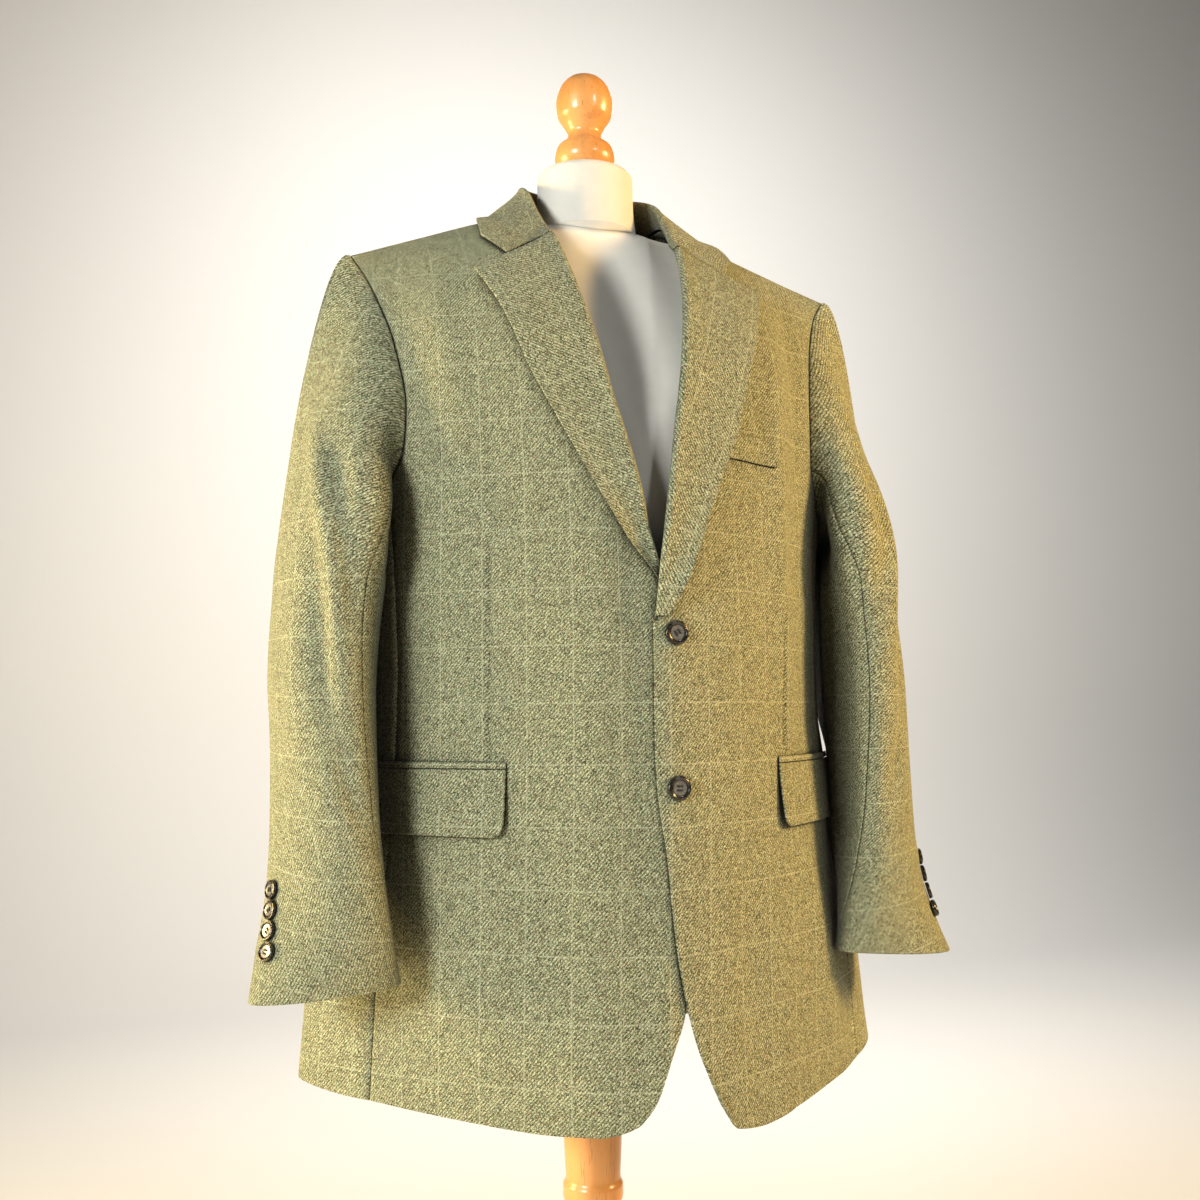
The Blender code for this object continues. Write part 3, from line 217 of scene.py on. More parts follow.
@dataclass(frozen=True)
class JacketForm:
    """The surface that the jacket's panels lie on, and the lines that cut it into pieces."""

    cloth: float = 0.002
    seam: float = 0.0003
    lie: float = 0.0012
    patch_lie: float = 0.0008
    back_power: float = 2.3
    neck_point: float = 0.0715
    neck_depth: float = 0.062
    shoulder_tip: float = 0.236
    shoulder_drop: float = 0.16
    neck_drop: float = 0.3
    neck_drop_reach: float = 0.12
    shoulder_power: float = 1.6
    hem: float = 0.69
    underarm: float = 1.205
    underarm_drop: float = 0.022
    gorge: float = 1.44
    turn: float = 0.0042
    turn_at_break: float = 0.0023
    turn_length: float = 0.09
    roll_room: float = 1.1
    lap_depth: float = 0.0034
    lapped_lapel_depth: float = 0.0066
    lapel_starts: Pair = (1.06, 1.095)
    lapel_ends: Pair = (1.15, 1.185)
    lap_top: Pair = (1.165, 1.2)
    lap_side: Pair = (0.02, 0.055)
    slack: Profile = ((0.109, 0.267, 0.367, 0.417, 0.511, 0.656), (0, 0.0088, 0.0096, 0.0095, 0.004, 0))
    armhole_heights: Row = (1.205, 1.235, 1.268, 1.302, 1.336, 1.367, 1.391, 1.408, 1.418)
    rings: Table = Table("height half_width front back widest power", (
        (0.66, 0.271, -0.203, 0.133, 0.015, 1.3),
        (0.69, 0.268, -0.205, 0.13, 0.015, 1.3),
        (0.8, 0.259, -0.205, 0.12, 0.012, 1.36),
        (0.95, 0.242, -0.211, 0.1, 0.002, 1.45),
        (1.07, 0.235, -0.211, 0.094, -0.003, 1.48),
        (1.14, 0.236, -0.206, 0.1, -0.006, 1.5),
        (1.2, 0.24, -0.196, 0.108, -0.008, 1.54),
        (1.3, 0.246, -0.17, 0.122, -0.01, 1.65),
        (1.42, 0.249, -0.16, 0.113, -0.012, 1.65),
        (1.55, 0.249, -0.16, 0.105, -0.012, 1.65),
    ))
    swing: Table = Table("height half_width widest power", (
        (0.66, 0.03, 0, 0.15), (0.8, 0.022, 0, 0.09), (0.88, 0.012, 0, 0.04), (1, 0, 0, 0),
    ))
    ridge: Table = Table("x y height", (
        (0, 0.012, 1.536),
        (0.035, 0.004, 1.516),
        (0.0715, -0.005, 1.486),
        (0.11, -0.0142, 1.4715),
        (0.15, -0.024, 1.455),
        (0.19, -0.034, 1.4378),
        (0.236, -0.045, 1.418),
        (0.28, -0.056, 1.399),
    ))
    front_seam: Table = Table("height x", ((0.66, 0.806), (0.95, 0.83), (1.205, 0.861)))
    back_seam: Table = Table("height x", ((0.66, 0.86), (0.95, 0.86), (1.205, 0.861)))
    armhole_front: Table = Table("height x", (
        (1.205, 0.2071), (1.24, 0.1955), (1.27, 0.1945), (1.335, 0.2025),
        (1.37, 0.2125), (1.4, 0.2245), (1.418, 0.236),
    ))
    armhole_back: Table = Table("height x", (
        (1.205, 0.2071), (1.27, 0.2), (1.36, 0.213), (1.4, 0.226), (1.418, 0.236),
    ))
    left_edge: Table = curve("height x", (
        (690, 52), (707, 40), (741, 24), (788, 11), (840, 2.5), (894, -4.3), (945, -11.8), (985, -13.5),
        (1083, -13.5),
    ))
    right_edge: Table = curve("height x", (
        (690, 18), (700, 11.3), (735, -1.3), (768, -13.7), (800, -18), (850, -22.5), (930, -25.5),
        (1100, -25.5),
    ))
    left_roll: Table = curve("height x", (
        (1083, -12.5), (1145, -4), (1228, 12.6), (1303, 31), (1385, 48), (1440, 57),
    ))
    right_roll: Table = curve("height x", (
        (1100, -9), (1130, 2), (1157, 10), (1218, 21.2), (1306, 38.2), (1385, 51.2), (1440, 58),
    ))
    left_lapel: Table = curve("height x", (
        (1086.5, 0), (1101.5, 7.2), (1139, 23.1), (1204, 53), (1253, 78.5), (1305, 98), (1360, 119.5),
        (1396, 133.5),
    ))
    right_lapel: Table = curve("height x", (
        (1102.5, -1), (1120, 8.7), (1151, 30), (1197.5, 54.5), (1264, 84), (1305, 101), (1360, 118.5),
        (1396, 133.5),
    ))
    left_hem: Table = curve("x height", (
        (52, 690), (60, 676), (72, 669), (118, 665), (157, 667), (216, 679), (270, 690),
    ))
    right_hem: Table = curve("x height", (
        (18, 690), (26, 682), (42, 676), (60, 673), (94, 673), (138, 676), (174, 680), (240, 688),
        (270, 690),
    ))

    def line(self, name: str, side: Side) -> Table:
        """Return a side's own line: the front's edge or hem, or the lapel's roll or free edge."""
        return getattr(self, f"{side.word}_{name}")

    def break_height(self, side: Side) -> float:
        """Return where the lapel starts to turn."""
        return self.line("roll", side).first[0]

    def ring(self, name: str, side: Side, x: Array, height: Array) -> Array:
        """Return a size of the body's section: the ring's, plus the left skirt's swing there."""
        swung = np.where(side.value * np.asarray(x) > 0, self.swing.read(name, height), 0)
        return self.rings.read(name, height) + swung

    def ridge_height(self, x: Array) -> Array:
        """Return the height of the shoulder's ridge at this distance from the centre."""
        return self.ridge.read("height", np.abs(x))

    def ridge_y(self, x: Array) -> Array:
        """Return the y of the shoulder's ridge at this distance from the centre."""
        return self.ridge.read("y", np.abs(x))

    def drop_length(self, x: Array, ahead: Array | bool) -> Array:
        """Return how far below the ridge the surface gains its full depth, most at the throat."""
        near = np.clip(1 - np.abs(x) / self.neck_drop_reach, 0, 1)
        return self.shoulder_drop + ahead * (self.neck_drop - self.shoulder_drop) * near**2

    def section(self, side: Side, x: Array | float, height: Array, ahead: Array | bool) -> tuple[Array, ...]:
        """Return the sizes of a section: one superellipse ahead of its widest place, one behind.

        Args:
            side: the half of the jacket.
            x: own x, whose sign says whether the skirt's swing counts.
            height: height of the section.
            ahead: whether the one ahead is meant.

        Returns:
            Half width, the widest place's y, depth from there and power.
        """
        sizes = (self.ring(name, side, x, height) for name in ("half_width", "widest", "power"))
        half_width, widest, power = sizes
        depth = np.where(ahead, self.rings.read("front", height), self.rings.read("back", height)) - widest
        return half_width, widest, depth, np.where(ahead, power, self.back_power)

    def section_point(self, side: Side, angle: Array, height: Array) -> Array:
        """Return points of a section at angles from its front, drawn as sin^a and cos^a of them."""
        half_width, widest, depth, power = self.section(side, 1.0, height, angle < np.pi / 2)
        x = half_width * np.sin(angle) ** (2 / power)
        return together(x, widest + depth * np.abs(np.cos(angle)) ** (2 / power), height + 0 * x)

    def ring_y(self, side: Side, x: Array, height: Array, ahead: Array | bool) -> Array:
        """Return y of the body's section at own x, on its front or its back."""
        half_width, widest, depth, power = self.section(side, x, height, ahead)
        return widest + depth * bowed(np.abs(x) / half_width, power)

    def surface_y(self, side: Side, x: Array, height: Array, ahead: bool = True) -> Array:
        """Return y of the front or back: its section, drawn to the ridge by the shoulder's bow."""
        share = (self.ridge_height(x) - height) / self.drop_length(x, ahead)
        crest = self.ridge_y(x)
        return crest + (self.ring_y(side, x, height, ahead) - crest) * bowed(1 - share, self.shoulder_power)

    def shoulder_height(self, x: Array, y: Array) -> Array:
        """Return the height of the shoulder's top, surface_y undone in five rounds."""
        crest = self.ridge_y(x)
        ahead = y < crest
        height = self.ridge_height(x) - 0.06
        for _ in range(5):
            share = (y - crest) / (self.ring_y(Side.LEFT, x, height, ahead) - crest)
            drop = 1 - bowed(share, self.shoulder_power)
            height = self.ridge_height(x) - self.drop_length(x, ahead) * drop
        return height

    def side_x(self, side: Side, y: Array, height: Array) -> Array:
        """Return half of the body's width at a y and height, the section read sideways."""
        ahead = y < self.ring("widest", side, 1.0, height)
        half_width, widest, depth, power = self.section(side, 1.0, height, ahead)
        return half_width * bowed(np.abs((y - widest) / depth), power)

    def front_normal(self, side: Side, x: Array, height: Array) -> Array:
        """Return outward normals of the front surface, by small differences."""
        step = 1e-4
        rise_x = self.surface_y(side, x + step, height) - self.surface_y(side, x - step, height)
        rise_z = self.surface_y(side, x, height + step) - self.surface_y(side, x, height - step)
        return unit(together(rise_x / (2 * step), -np.ones_like(rise_x), rise_z / (2 * step)))

    def turn_radius(self, side: Side, height: Array) -> Array:
        """Return the outer radius of the lapel's fold, which opens above its break."""
        start = self.break_height(side)
        opened = eased(height, start, start + self.turn_length)
        return self.turn_at_break + (self.turn - self.turn_at_break) * opened

    def gorge_x(self, side: Side) -> float:
        """Return own x where the gorge seam starts, just outside the roll."""
        return self.line("roll", side).last[1] + self.roll_room * self.turn + self.seam

    def inner_x(self, side: Side, height: Array) -> Array:
        """Return own x of a front's inner edge: down the front, then just outside the roll."""
        room = self.roll_room * self.turn_radius(side, height) + self.seam
        rolled = self.line("roll", side).read("x", height) + room
        start_x = self.gorge_x(side)
        rise = np.clip((height - self.gorge) / (self.ridge_height(self.neck_point) - self.gorge), 0, 1)
        upper = np.where(height < self.gorge, rolled, start_x + (self.neck_point - start_x) * rise)
        free = self.line("edge", side).read("x", height)
        return np.where(height < self.break_height(side) - 1e-6, free, upper)

    def lap_recess(self, side: Side, x: Array, height: Array) -> Array:
        """Return how far the right front lies behind the left one that laps over it."""
        if side is Side.LEFT:
            return np.zeros_like(x)
        lapel = eased(height, *self.lapel_starts) * (1 - eased(height, *self.lapel_ends))
        depth = self.lap_depth + (self.lapped_lapel_depth - self.lap_depth) * lapel
        return depth * (1 - eased(height, *self.lap_top)) * (1 - eased(x, *self.lap_side))

    def panel_point(self, side: Side, x: Array, height: Array) -> Array:
        """Return points of a front panel at own x and height."""
        return together(x, self.surface_y(side, x, height) + self.lap_recess(side, x, height), height)

    def ridge_normal(self, x: Array) -> Array:
        """Return normals on the shoulder seam: square to it and as near to +Z as can be."""
        step = 1e-3
        rise_y = self.ridge_y(x + step) - self.ridge_y(x - step)
        rise_z = self.ridge_height(x + step) - self.ridge_height(x - step)
        along = unit(together(np.full_like(x, 2 * step), rise_y, rise_z))
        return unit(np.array([0, 0, 1.0]) - along * along[..., 2:3])

    def ring_walk(self, side: Side, start_x: float, height: float, runs: Array) -> Array:
        """Return points on the body at one height, by the running length of its section.

        Args:
            side: the half of the jacket.
            start_x: own x of the start, on the front.
            height: the section's height.
            runs: lengths from the start round to the back.

        Returns:
            One point for each length.
        """
        angle = np.linspace(0, np.pi * 0.65, 600)
        section = self.section_point(side, angle, height)
        run = lengths(section, 0)
        ahead = angle < np.pi / 2
        start = np.interp(start_x, section[ahead, 0], run[ahead])
        return together(*(np.interp(start + runs, run, along) for along in section.T))

    def grain_u(self, x: Array) -> Array:
        """Return the width of cloth from the centre to own x, run along the waist's section."""
        xs = np.linspace(0, 0.232, 400)
        ys = self.surface_y(Side.LEFT, xs, np.full_like(xs, 1.02))
        return np.sign(x) * np.interp(np.abs(x), xs, lengths(together(xs, ys), 0))

    def grain_v(self, height: Array) -> Array:
        """Return the length of cloth above the hem line, run up the front at its chest.

        The cloth hangs a little longer than its cut at the waist, by the slack.

        Args:
            height: heights of the points.

        Returns:
            One length per point.
        """
        zs = np.linspace(0.6, 1.46, 500)
        ys = self.surface_y(Side.LEFT, np.full_like(zs, 0.1), zs)
        length = np.interp(height, zs, lengths(together(zs, ys), 0)) + np.maximum(height - zs[-1], 0)
        return length - np.interp(length, *self.slack)


# Folds


@dataclass(frozen=True)
class FoldField:
    """Moves cloth out and in by folds, soft ridges and troughs, and by a slight unevenness.

    A row, in millimetres, is a fold's height (a trough's is negative), its width, and the points
    of its path. At distance d from the path it adds height * exp(-(d / width)^2), fading towards
    the path's ends. The unevenness is a sum of slow sines of x, y and z.
    """

    rows: tuple[tuple[float | Triple, ...], ...]
    unevenness: float
    seed: int
    waves: int = 7
    wave_counts: Pair = (16, 9)
    ends: Triple = (0.94, 0.03, 0.6)

    def near(self, path: Array, points: Array) -> tuple[Array, Array]:
        """Find how near points are to a path.

        Args:
            path: its corners.
            points: the points.

        Returns:
            The distance to the path, and the share of its length at the nearest place.
        """
        runs = lengths(path, 0)
        best = np.full(points.shape[:-1], np.inf)
        share = np.zeros(points.shape[:-1])
        for start, end, low, high in zip(path[:-1], path[1:], runs[:-1], runs[1:]):
            span = end - start
            at = np.clip((points - start) @ span / (span @ span), 0, 1)
            away = np.linalg.norm(points - start - at[..., None] * span, axis=-1)
            nearer = away < best
            best = np.where(nearer, away, best)
            share = np.where(nearer, (low + at * (high - low)) / runs[-1], share)
        return best, share

    def height(self, points: Array) -> Array:
        """Return how far out the cloth moves at each point."""
        moved = np.zeros(points.shape[:-1])
        scale, start, power = self.ends
        for height, width, *path in self.rows:
            away, share = self.near(np.array(path) / MM, points)
            ends = np.sin(np.pi * np.clip(share * scale + start, 0, 1)) ** power
            moved += height / MM * ends * np.exp(-((away * MM / width) ** 2))
        rng = np.random.default_rng(self.seed)
        first, more = self.wave_counts
        for wave in range(self.waves):
            turn = rng.normal(size=3) * (first + more * wave) * np.array([1.0, 1.0, 0.7])
            strength = self.unevenness / (1 + 0.5 * wave)
            moved += strength * np.sin(points @ turn + rng.uniform(0, 2 * np.pi)) * 0.5
        return moved

    def on(self, grid: Array, normals: Array, side: Side, weight: Array | float = 1.0) -> Array:
        """Return a grid of the own side, moved along its normals by the folds there."""
        return grid + normals * (self.height(side.place(grid)) * weight)[..., None]


BODY_FOLDS = FoldField((
    (5.1, 18, (146, -100, 1410), (138, -130, 1300), (131, -145, 1168), (135, -148, 1100), (146, -150, 990)),
    (-4.5, 15, (176, -80, 1390), (170, -100, 1300), (166, -120, 1200)),
    (3.3, 18, (-170, -80, 1395), (-160, -110, 1300), (-150, -140, 1190)),
    (-4.2, 14, (-186, -80, 1330), (-180, -100, 1250), (-178, -120, 1190)),
    (-2.1, 12, (12, -210, 1066), (60, -200, 1050), (120, -170, 1052)),
    (-2.4, 12, (10, -210, 1080), (50, -200, 1120), (85, -180, 1180)),
    (-2.1, 12, (-12, -210, 1080), (-60, -200, 1105), (-110, -170, 1150)),
    (-2.1, 12, (-12, -210, 1062), (-80, -200, 1045), (-150, -150, 1050)),
    (3.3, 22, (-60, -190, 900), (-75, -190, 780), (-80, -190, 690)),
    (-4.5, 20, (-175, -130, 880), (-190, -120, 780), (-200, -110, 690)),
    (-3.3, 22, (85, -190, 890), (90, -190, 780), (100, -180, 680)),
    (5.1, 22, (170, -130, 890), (195, -120, 780), (215, -110, 680)),
    (4.5, 24, (60, 90, 1060), (85, 100, 900), (95, 120, 700)),
    (3.9, 26, (-70, 90, 1040), (-90, 100, 880), (-110, 120, 700)),
    (-3.6, 13, (30, 90, 1100), (90, 90, 1080), (170, 70, 1095)),
    (-3.3, 13, (-20, 90, 1120), (-90, 90, 1105), (-180, 60, 1120)),
    (4.8, 18, (-150, 90, 1330), (-165, 80, 1250), (-175, 60, 1170)),
    (5.4, 18, (150, 90, 1320), (168, 80, 1240), (178, 60, 1160)),
    (-2.7, 12, (50, 90, 1440), (0, 100, 1425), (-50, 90, 1440)),
), 0.0006, 3)

SLEEVE_FOLDS = FoldField((
    (8.5, 11, (-268, -67, 1260), (-265, -94, 1206), (-259, -114, 1153), (-254, -124, 1098)),
    (-6.5, 11, (-252, -95, 1237), (-250, -111, 1185), (-249, -122, 1132), (-240, -125, 1070)),
    (-7.5, 11, (-273, -100, 1160), (-271, -112, 1103), (-266, -123, 1035), (-256, -131, 995)),
    (-6, 10, (-256, -131, 995), (-250, -133, 962), (-240, -135, 935), (-230, -130, 915)),
    (4.2, 14, (-286, -85, 1110), (-284, -100, 1030), (-279, -108, 960)),
    (17, 24, (-222, -100, 1228), (-226, -108, 1189), (-230, -113, 1162), (-220, -104, 1125)),
    (3, 12, (-225, -110, 890), (-262, -130, 872), (-300, -110, 885)),
    (4, 16, (-300, 20, 1200), (-305, 0, 1100), (-300, -20, 1000)),
    (-4.5, 16, (-268, 60, 1140), (-272, 30, 1040), (-280, 0, 950)),
    (5, 14, (-245, 70, 1230), (-262, 60, 1170), (-270, 50, 1110)),
    (7.5, 12, (270, -70, 1245), (267, -96, 1190), (260, -115, 1130), (250, -124, 1060)),
    (-6.2, 11, (252, -95, 1225), (249, -112, 1170), (246, -122, 1110)),
    (-5.5, 12, (280, -92, 1160), (277, -108, 1080), (268, -122, 1000)),
    (-5, 11, (262, -130, 990), (252, -134, 950), (238, -134, 918)),
    (17, 24, (222, -100, 1228), (226, -108, 1189), (230, -113, 1162), (220, -104, 1125)),
    (2.8, 12, (225, -115, 880), (262, -130, 862), (300, -110, 875)),
    (10, 26, (240, 10, 1060), (243, -6, 1015), (232, -45, 965), (225, -68, 910), (217, -95, 848),
     (206, -106, 805)),
    (8.5, 20, (232, -110, 1205), (233, -119, 1120), (233, -124, 1015), (231, -130, 940), (225, -134, 870)),
    (4.2, 16, (302, 30, 1190), (306, 0, 1090), (300, -30, 990)),
    (-4.5, 16, (270, 60, 1120), (275, 20, 1020), (280, 0, 960)),
    (4.8, 14, (245, 70, 1215), (260, 60, 1160), (268, 50, 1090)),
), 0.0007, 11)


# Meshes


@dataclass
class ClothMaker:
    """Makes closed walls of cloth from grids, with a rounded rim so that seams read as grooves."""

    rim: float = 0.0005
    segments: int = 96

    def mesh(
        self, name: str, points: Array, faces: Array, uv: Array | None = None, caps: tuple[Array, ...] = ()
    ) -> Piece:
        """Put points and faces into a smooth mesh object.

        Args:
            name: the object's name.
            points: all the points.
            faces: the four corners of each face.
            uv: each point's own place on the cloth, in metres.
            caps: the corners of each flat end.

        Returns:
            The new object, at the origin.
        """
        mesh = bpy.data.meshes.new(name)
        mesh.vertices.add(len(points))
        mesh.vertices.foreach_set("co", np.ascontiguousarray(points, np.float32).ravel())
        corners = np.concatenate([np.asarray(faces).ravel(), *caps]).astype(np.int32)
        totals = np.array([4] * len(faces) + [len(cap) for cap in caps], np.int32)
        mesh.loops.add(len(corners))
        mesh.loops.foreach_set("vertex_index", corners)
        mesh.polygons.add(len(totals))
        mesh.polygons.foreach_set("loop_start", np.cumsum(totals, dtype=np.int32) - totals)
        mesh.polygons.foreach_set("loop_total", totals)
        mesh.update(calc_edges=True)
        mesh.shade_smooth()
        if uv is not None:
            layer = mesh.uv_layers.new(name="cloth")
            layer.uv.foreach_set("vector", np.ascontiguousarray(uv[corners], np.float32).ravel())
        mesh.validate()
        return placed(name, mesh)

    def wall(self, name: str, grid: Array, normals: Array, uv: Array, thickness: float) -> Piece:
        """Make a wall: the grid, its copy one thickness behind, and a rounded rim between them.

        Both borders are drawn in by the rim, and a ring half a thickness behind the true border
        rounds the edge.

        Args:
            name: the piece's name.
            grid: points of the outer face, by row and column.
            normals: its outward normals.
            uv: the cloth's own place of each point.
            thickness: the wall's thickness.

        Returns:
            The wall's object.
        """
        rows, columns = grid.shape[:2]
        count = rows * columns
        drawn = trimmed(grid, *[self.rim] * 4)
        index = np.arange(count).reshape(rows, columns)
        rim = np.concatenate([index[0], index[1:, -1], index[-1, -2::-1], index[-2:0:-1, 0]])
        flat = grid.reshape(-1, 3)
        facing = normals.reshape(-1, 3)
        inner = drawn.reshape(-1, 3) - facing * thickness
        middle = flat[rim] - facing[rim] * thickness * 0.5
        points = np.concatenate([drawn.reshape(-1, 3), inner, middle])
        places = uv.reshape(-1, 2)
        all_uv = np.concatenate([places, places, places[rim]])
        cells = quads(index)
        ring = 2 * count + np.arange(len(rim))
        after = np.roll(np.arange(len(rim)), -1)
        front_rim = together(rim[after], rim, ring, ring[after])
        back_rim = together(ring[after], ring, rim + count, rim[after] + count)
        faces = np.concatenate([cells, cells[:, ::-1] + count, front_rim, back_rim])
        row, column = rows // 2, columns // 2
        along = grid[row + 1, column] - grid[row, column]
        across = grid[row, column + 1] - grid[row, column]
        if np.dot(np.cross(across, along), normals[row, column]) < 0:
            faces = faces[:, ::-1]
        return self.mesh(name, points, faces, all_uv)

    def lathe(self, name: str, profile: Array) -> Piece:
        """Turn a profile of radius and height, bottom first, about the pole's axis."""
        turn = np.arange(self.segments) * 2 * np.pi / self.segments
        radius, height = profile[:, :1], profile[:, 1:]
        return self.tube(name, together(radius * np.cos(turn), radius * np.sin(turn), height + 0 * turn))

    def tube(self, name: str, rings: Array, uv: Array | None = None) -> Piece:
        """Join closed rings, bottom first, into a solid with flat ends."""
        index = np.arange(rings[..., 0].size).reshape(rings.shape[:2])
        return self.mesh(name, rings.reshape(-1, 3), quads(index, True), uv, (index[0, ::-1], index[-1]))


# Fronts, sides and backs


@dataclass
class Cloth:
    """One piece of cloth before it is put on its half of the jacket."""

    grid: Array
    normals: Array
    uv: Array


@dataclass
class BodyPanels:
    """The front, side and back of one half, and the armhole that its sleeve is set in."""

    form: JacketForm
    side: Side
    dart_x: float = 0.134
    dart_share: float = 0.66
    dart_depth: float = 0.003
    dart_width: float = 0.002
    dart_low: float = 0.968
    dart_fades: Pair = (0.006, 0.05)
    dart_release: Pair = (1.19, 1.26)
    dart_tops: dict[Side, float] = field(default_factory=lambda: {Side.LEFT: 1.125, Side.RIGHT: 1.175})
    hem_corner: float = 0.216
    front_shares: Row = (
        0.0, 0.05, 0.115, 0.19, 0.27, 0.35, 0.43, 0.51, 0.59, 0.63, 0.646, 0.655, 0.66, 0.665, 0.674,
        0.69, 0.75, 0.83, 0.91, 1.0,
    )
    back_shares: Row = (0.0, 0.1, 0.2, 0.30297, 0.42, 0.54, 0.66, 0.77, 0.86, 0.93, 1.0)
    arm_steps: int = 6
    seam_turning: float = 0.006
    seam_share: float = 0.55
    back_start: float = 0.5

    @property
    def arm_heights(self) -> Array:
        """Heights of the armhole's points."""
        return refine(self.form.armhole_heights, self.arm_steps)

    def seam_x(self, height: Array, table: Table) -> Array:
        """Return own x of a side seam: a share of the section's half width."""
        return table.read("x", height) * self.form.ring("half_width", self.side, 1.0, height)

    def front(self) -> Array:
        """Lay out the front: rows from the hem up, columns from the front edge out.

        Returns:
            The front's grid, each row straight from edge to seam, one column drawn to the dart.
        """
        form = self.form
        share = np.concatenate([refine(self.front_shares[:10], 5)[:-1], self.front_shares[9:15],
                                refine(self.front_shares[15:], 5)])
        tip = form.ridge_height(form.shoulder_tip)
        neck = form.ridge_height(form.neck_point)
        start = form.break_height(self.side)
        hem = form.line("hem", self.side)
        seam_bottom = hem.read("height", self.hem_corner)
        break_row = (start - form.hem) / (neck - form.hem)
        armhole_rows = (self.arm_heights - seam_bottom) / (tip - seam_bottom)
        hem_rows = np.linspace(0.075, break_row - form.seam, 9)
        low = refine(np.concatenate([[0.0, 0.025], hem_rows]), 9)
        between = refine(np.linspace(break_row, armhole_rows[0], 6), 5)[:-1]
        rows = np.concatenate([low, between, armhole_rows])
        inner_height = form.hem + rows * (neck - form.hem)
        outer_height = seam_bottom + rows * (tip - seam_bottom)
        inner_x = form.inner_x(self.side, inner_height)
        below = outer_height < form.underarm
        outer_x = np.where(below, self.seam_x(outer_height, form.front_seam),
                           form.armhole_front.read("x", outer_height))
        x = inner_x[:, None] + (outer_x - inner_x)[:, None] * share
        bottom = hem.read("height", x[0])
        height = bottom + rows[:, None] * (form.ridge_height(x[-1]) - bottom)
        seam = height[:, -1] < form.underarm + 1e-6
        true_x = self.seam_x(height[seam, -1], form.front_seam)
        x[seam] += (true_x - x[seam, -1])[:, None] * share
        dart = int(np.argmin(np.abs(share - self.dart_share)))
        shift = (self.dart_x - x[:, dart]) * (1 - eased(height[:, dart], *self.dart_release))
        x += shift[:, None] * np.interp(share, [0, self.dart_share, 1], [0, 1, 0])
        return form.panel_point(self.side, x, height)

    def dart(self, grid: Array) -> Array:
        """Return how deep the dart's groove is at each point of the front."""
        x, height = grid[..., 0], grid[..., 2]
        top = self.dart_tops[self.side]
        along = eased(height, self.dart_low, self.dart_low + self.dart_fades[0])
        along = along * (1 - eased(height, top - self.dart_fades[1], top))
        return self.dart_depth * along * np.exp(-(((x - self.dart_x) / self.dart_width) ** 2))

    def flank(self, heights: Array) -> Array:
        """Lay out the side body, from the front seam round to the back seam.

        Args:
            heights: heights of the rows at the front seam.

        Returns:
            The side's grid, rows from the hem up to the underarm.
        """
        form = self.form
        share = np.linspace(0, 1, 33)
        rows = (heights - heights[0]) / (heights[-1] - heights[0])
        hem = heights[0] + (form.hem - heights[0]) * eased(share, 0, 0.5)
        dip = form.underarm_drop * np.sin(np.pi * share) ** 0.8
        height = hem + rows[:, None] * (form.underarm - dip - hem)
        power = form.ring("power", self.side, 1.0, height)
        first = np.arcsin(form.front_seam.read("x", height) ** (power / 2))
        last = np.pi - np.arcsin(form.back_seam.read("x", height) ** (form.back_power / 2))
        return form.section_point(self.side, first + (last - first) * share, height)

    def back(self, side_rows: Array) -> Array:
        """Lay out the back: rows from the hem up, columns from the centre back out.

        Args:
            side_rows: shares of the height from the hem to the underarm.

        Returns:
            The back's grid.
        """
        form = self.form
        share = refine(self.back_shares, 5)
        tip = form.ridge_height(form.shoulder_tip)
        armhole_rows = (self.arm_heights - form.hem) / (tip - form.hem)
        rows = np.concatenate([side_rows[:-1] * armhole_rows[0], armhole_rows])
        outer_height = form.hem + rows * (tip - form.hem)
        outer_x = np.where(outer_height < form.underarm, self.seam_x(outer_height, form.back_seam),
                           form.armhole_back.read("x", outer_height))
        x = outer_x[:, None] * share
        neck_share = np.clip(x[-1] / form.neck_point, 0, 1)
        neck_y = form.ridge_y(form.neck_point) + form.neck_depth * np.sqrt(1 - neck_share**2)
        top = np.where(neck_share < 1, form.shoulder_height(x[-1], neck_y), form.ridge_height(x[-1]))
        height = form.hem + rows[:, None] * (top - form.hem)
        return together(x, form.surface_y(self.side, x, height, False), height)

    def ring_places(self, grid: Array, start: float) -> Array:
        """Return a panel's own places: a start plus the run along its middle row, and the rise."""
        run = lengths(grid[len(grid) // 2], 0)
        across = self.side.value * (start + run[None] * np.ones((len(grid), 1)))
        return together(across, self.form.grain_v(grid[..., 2]))

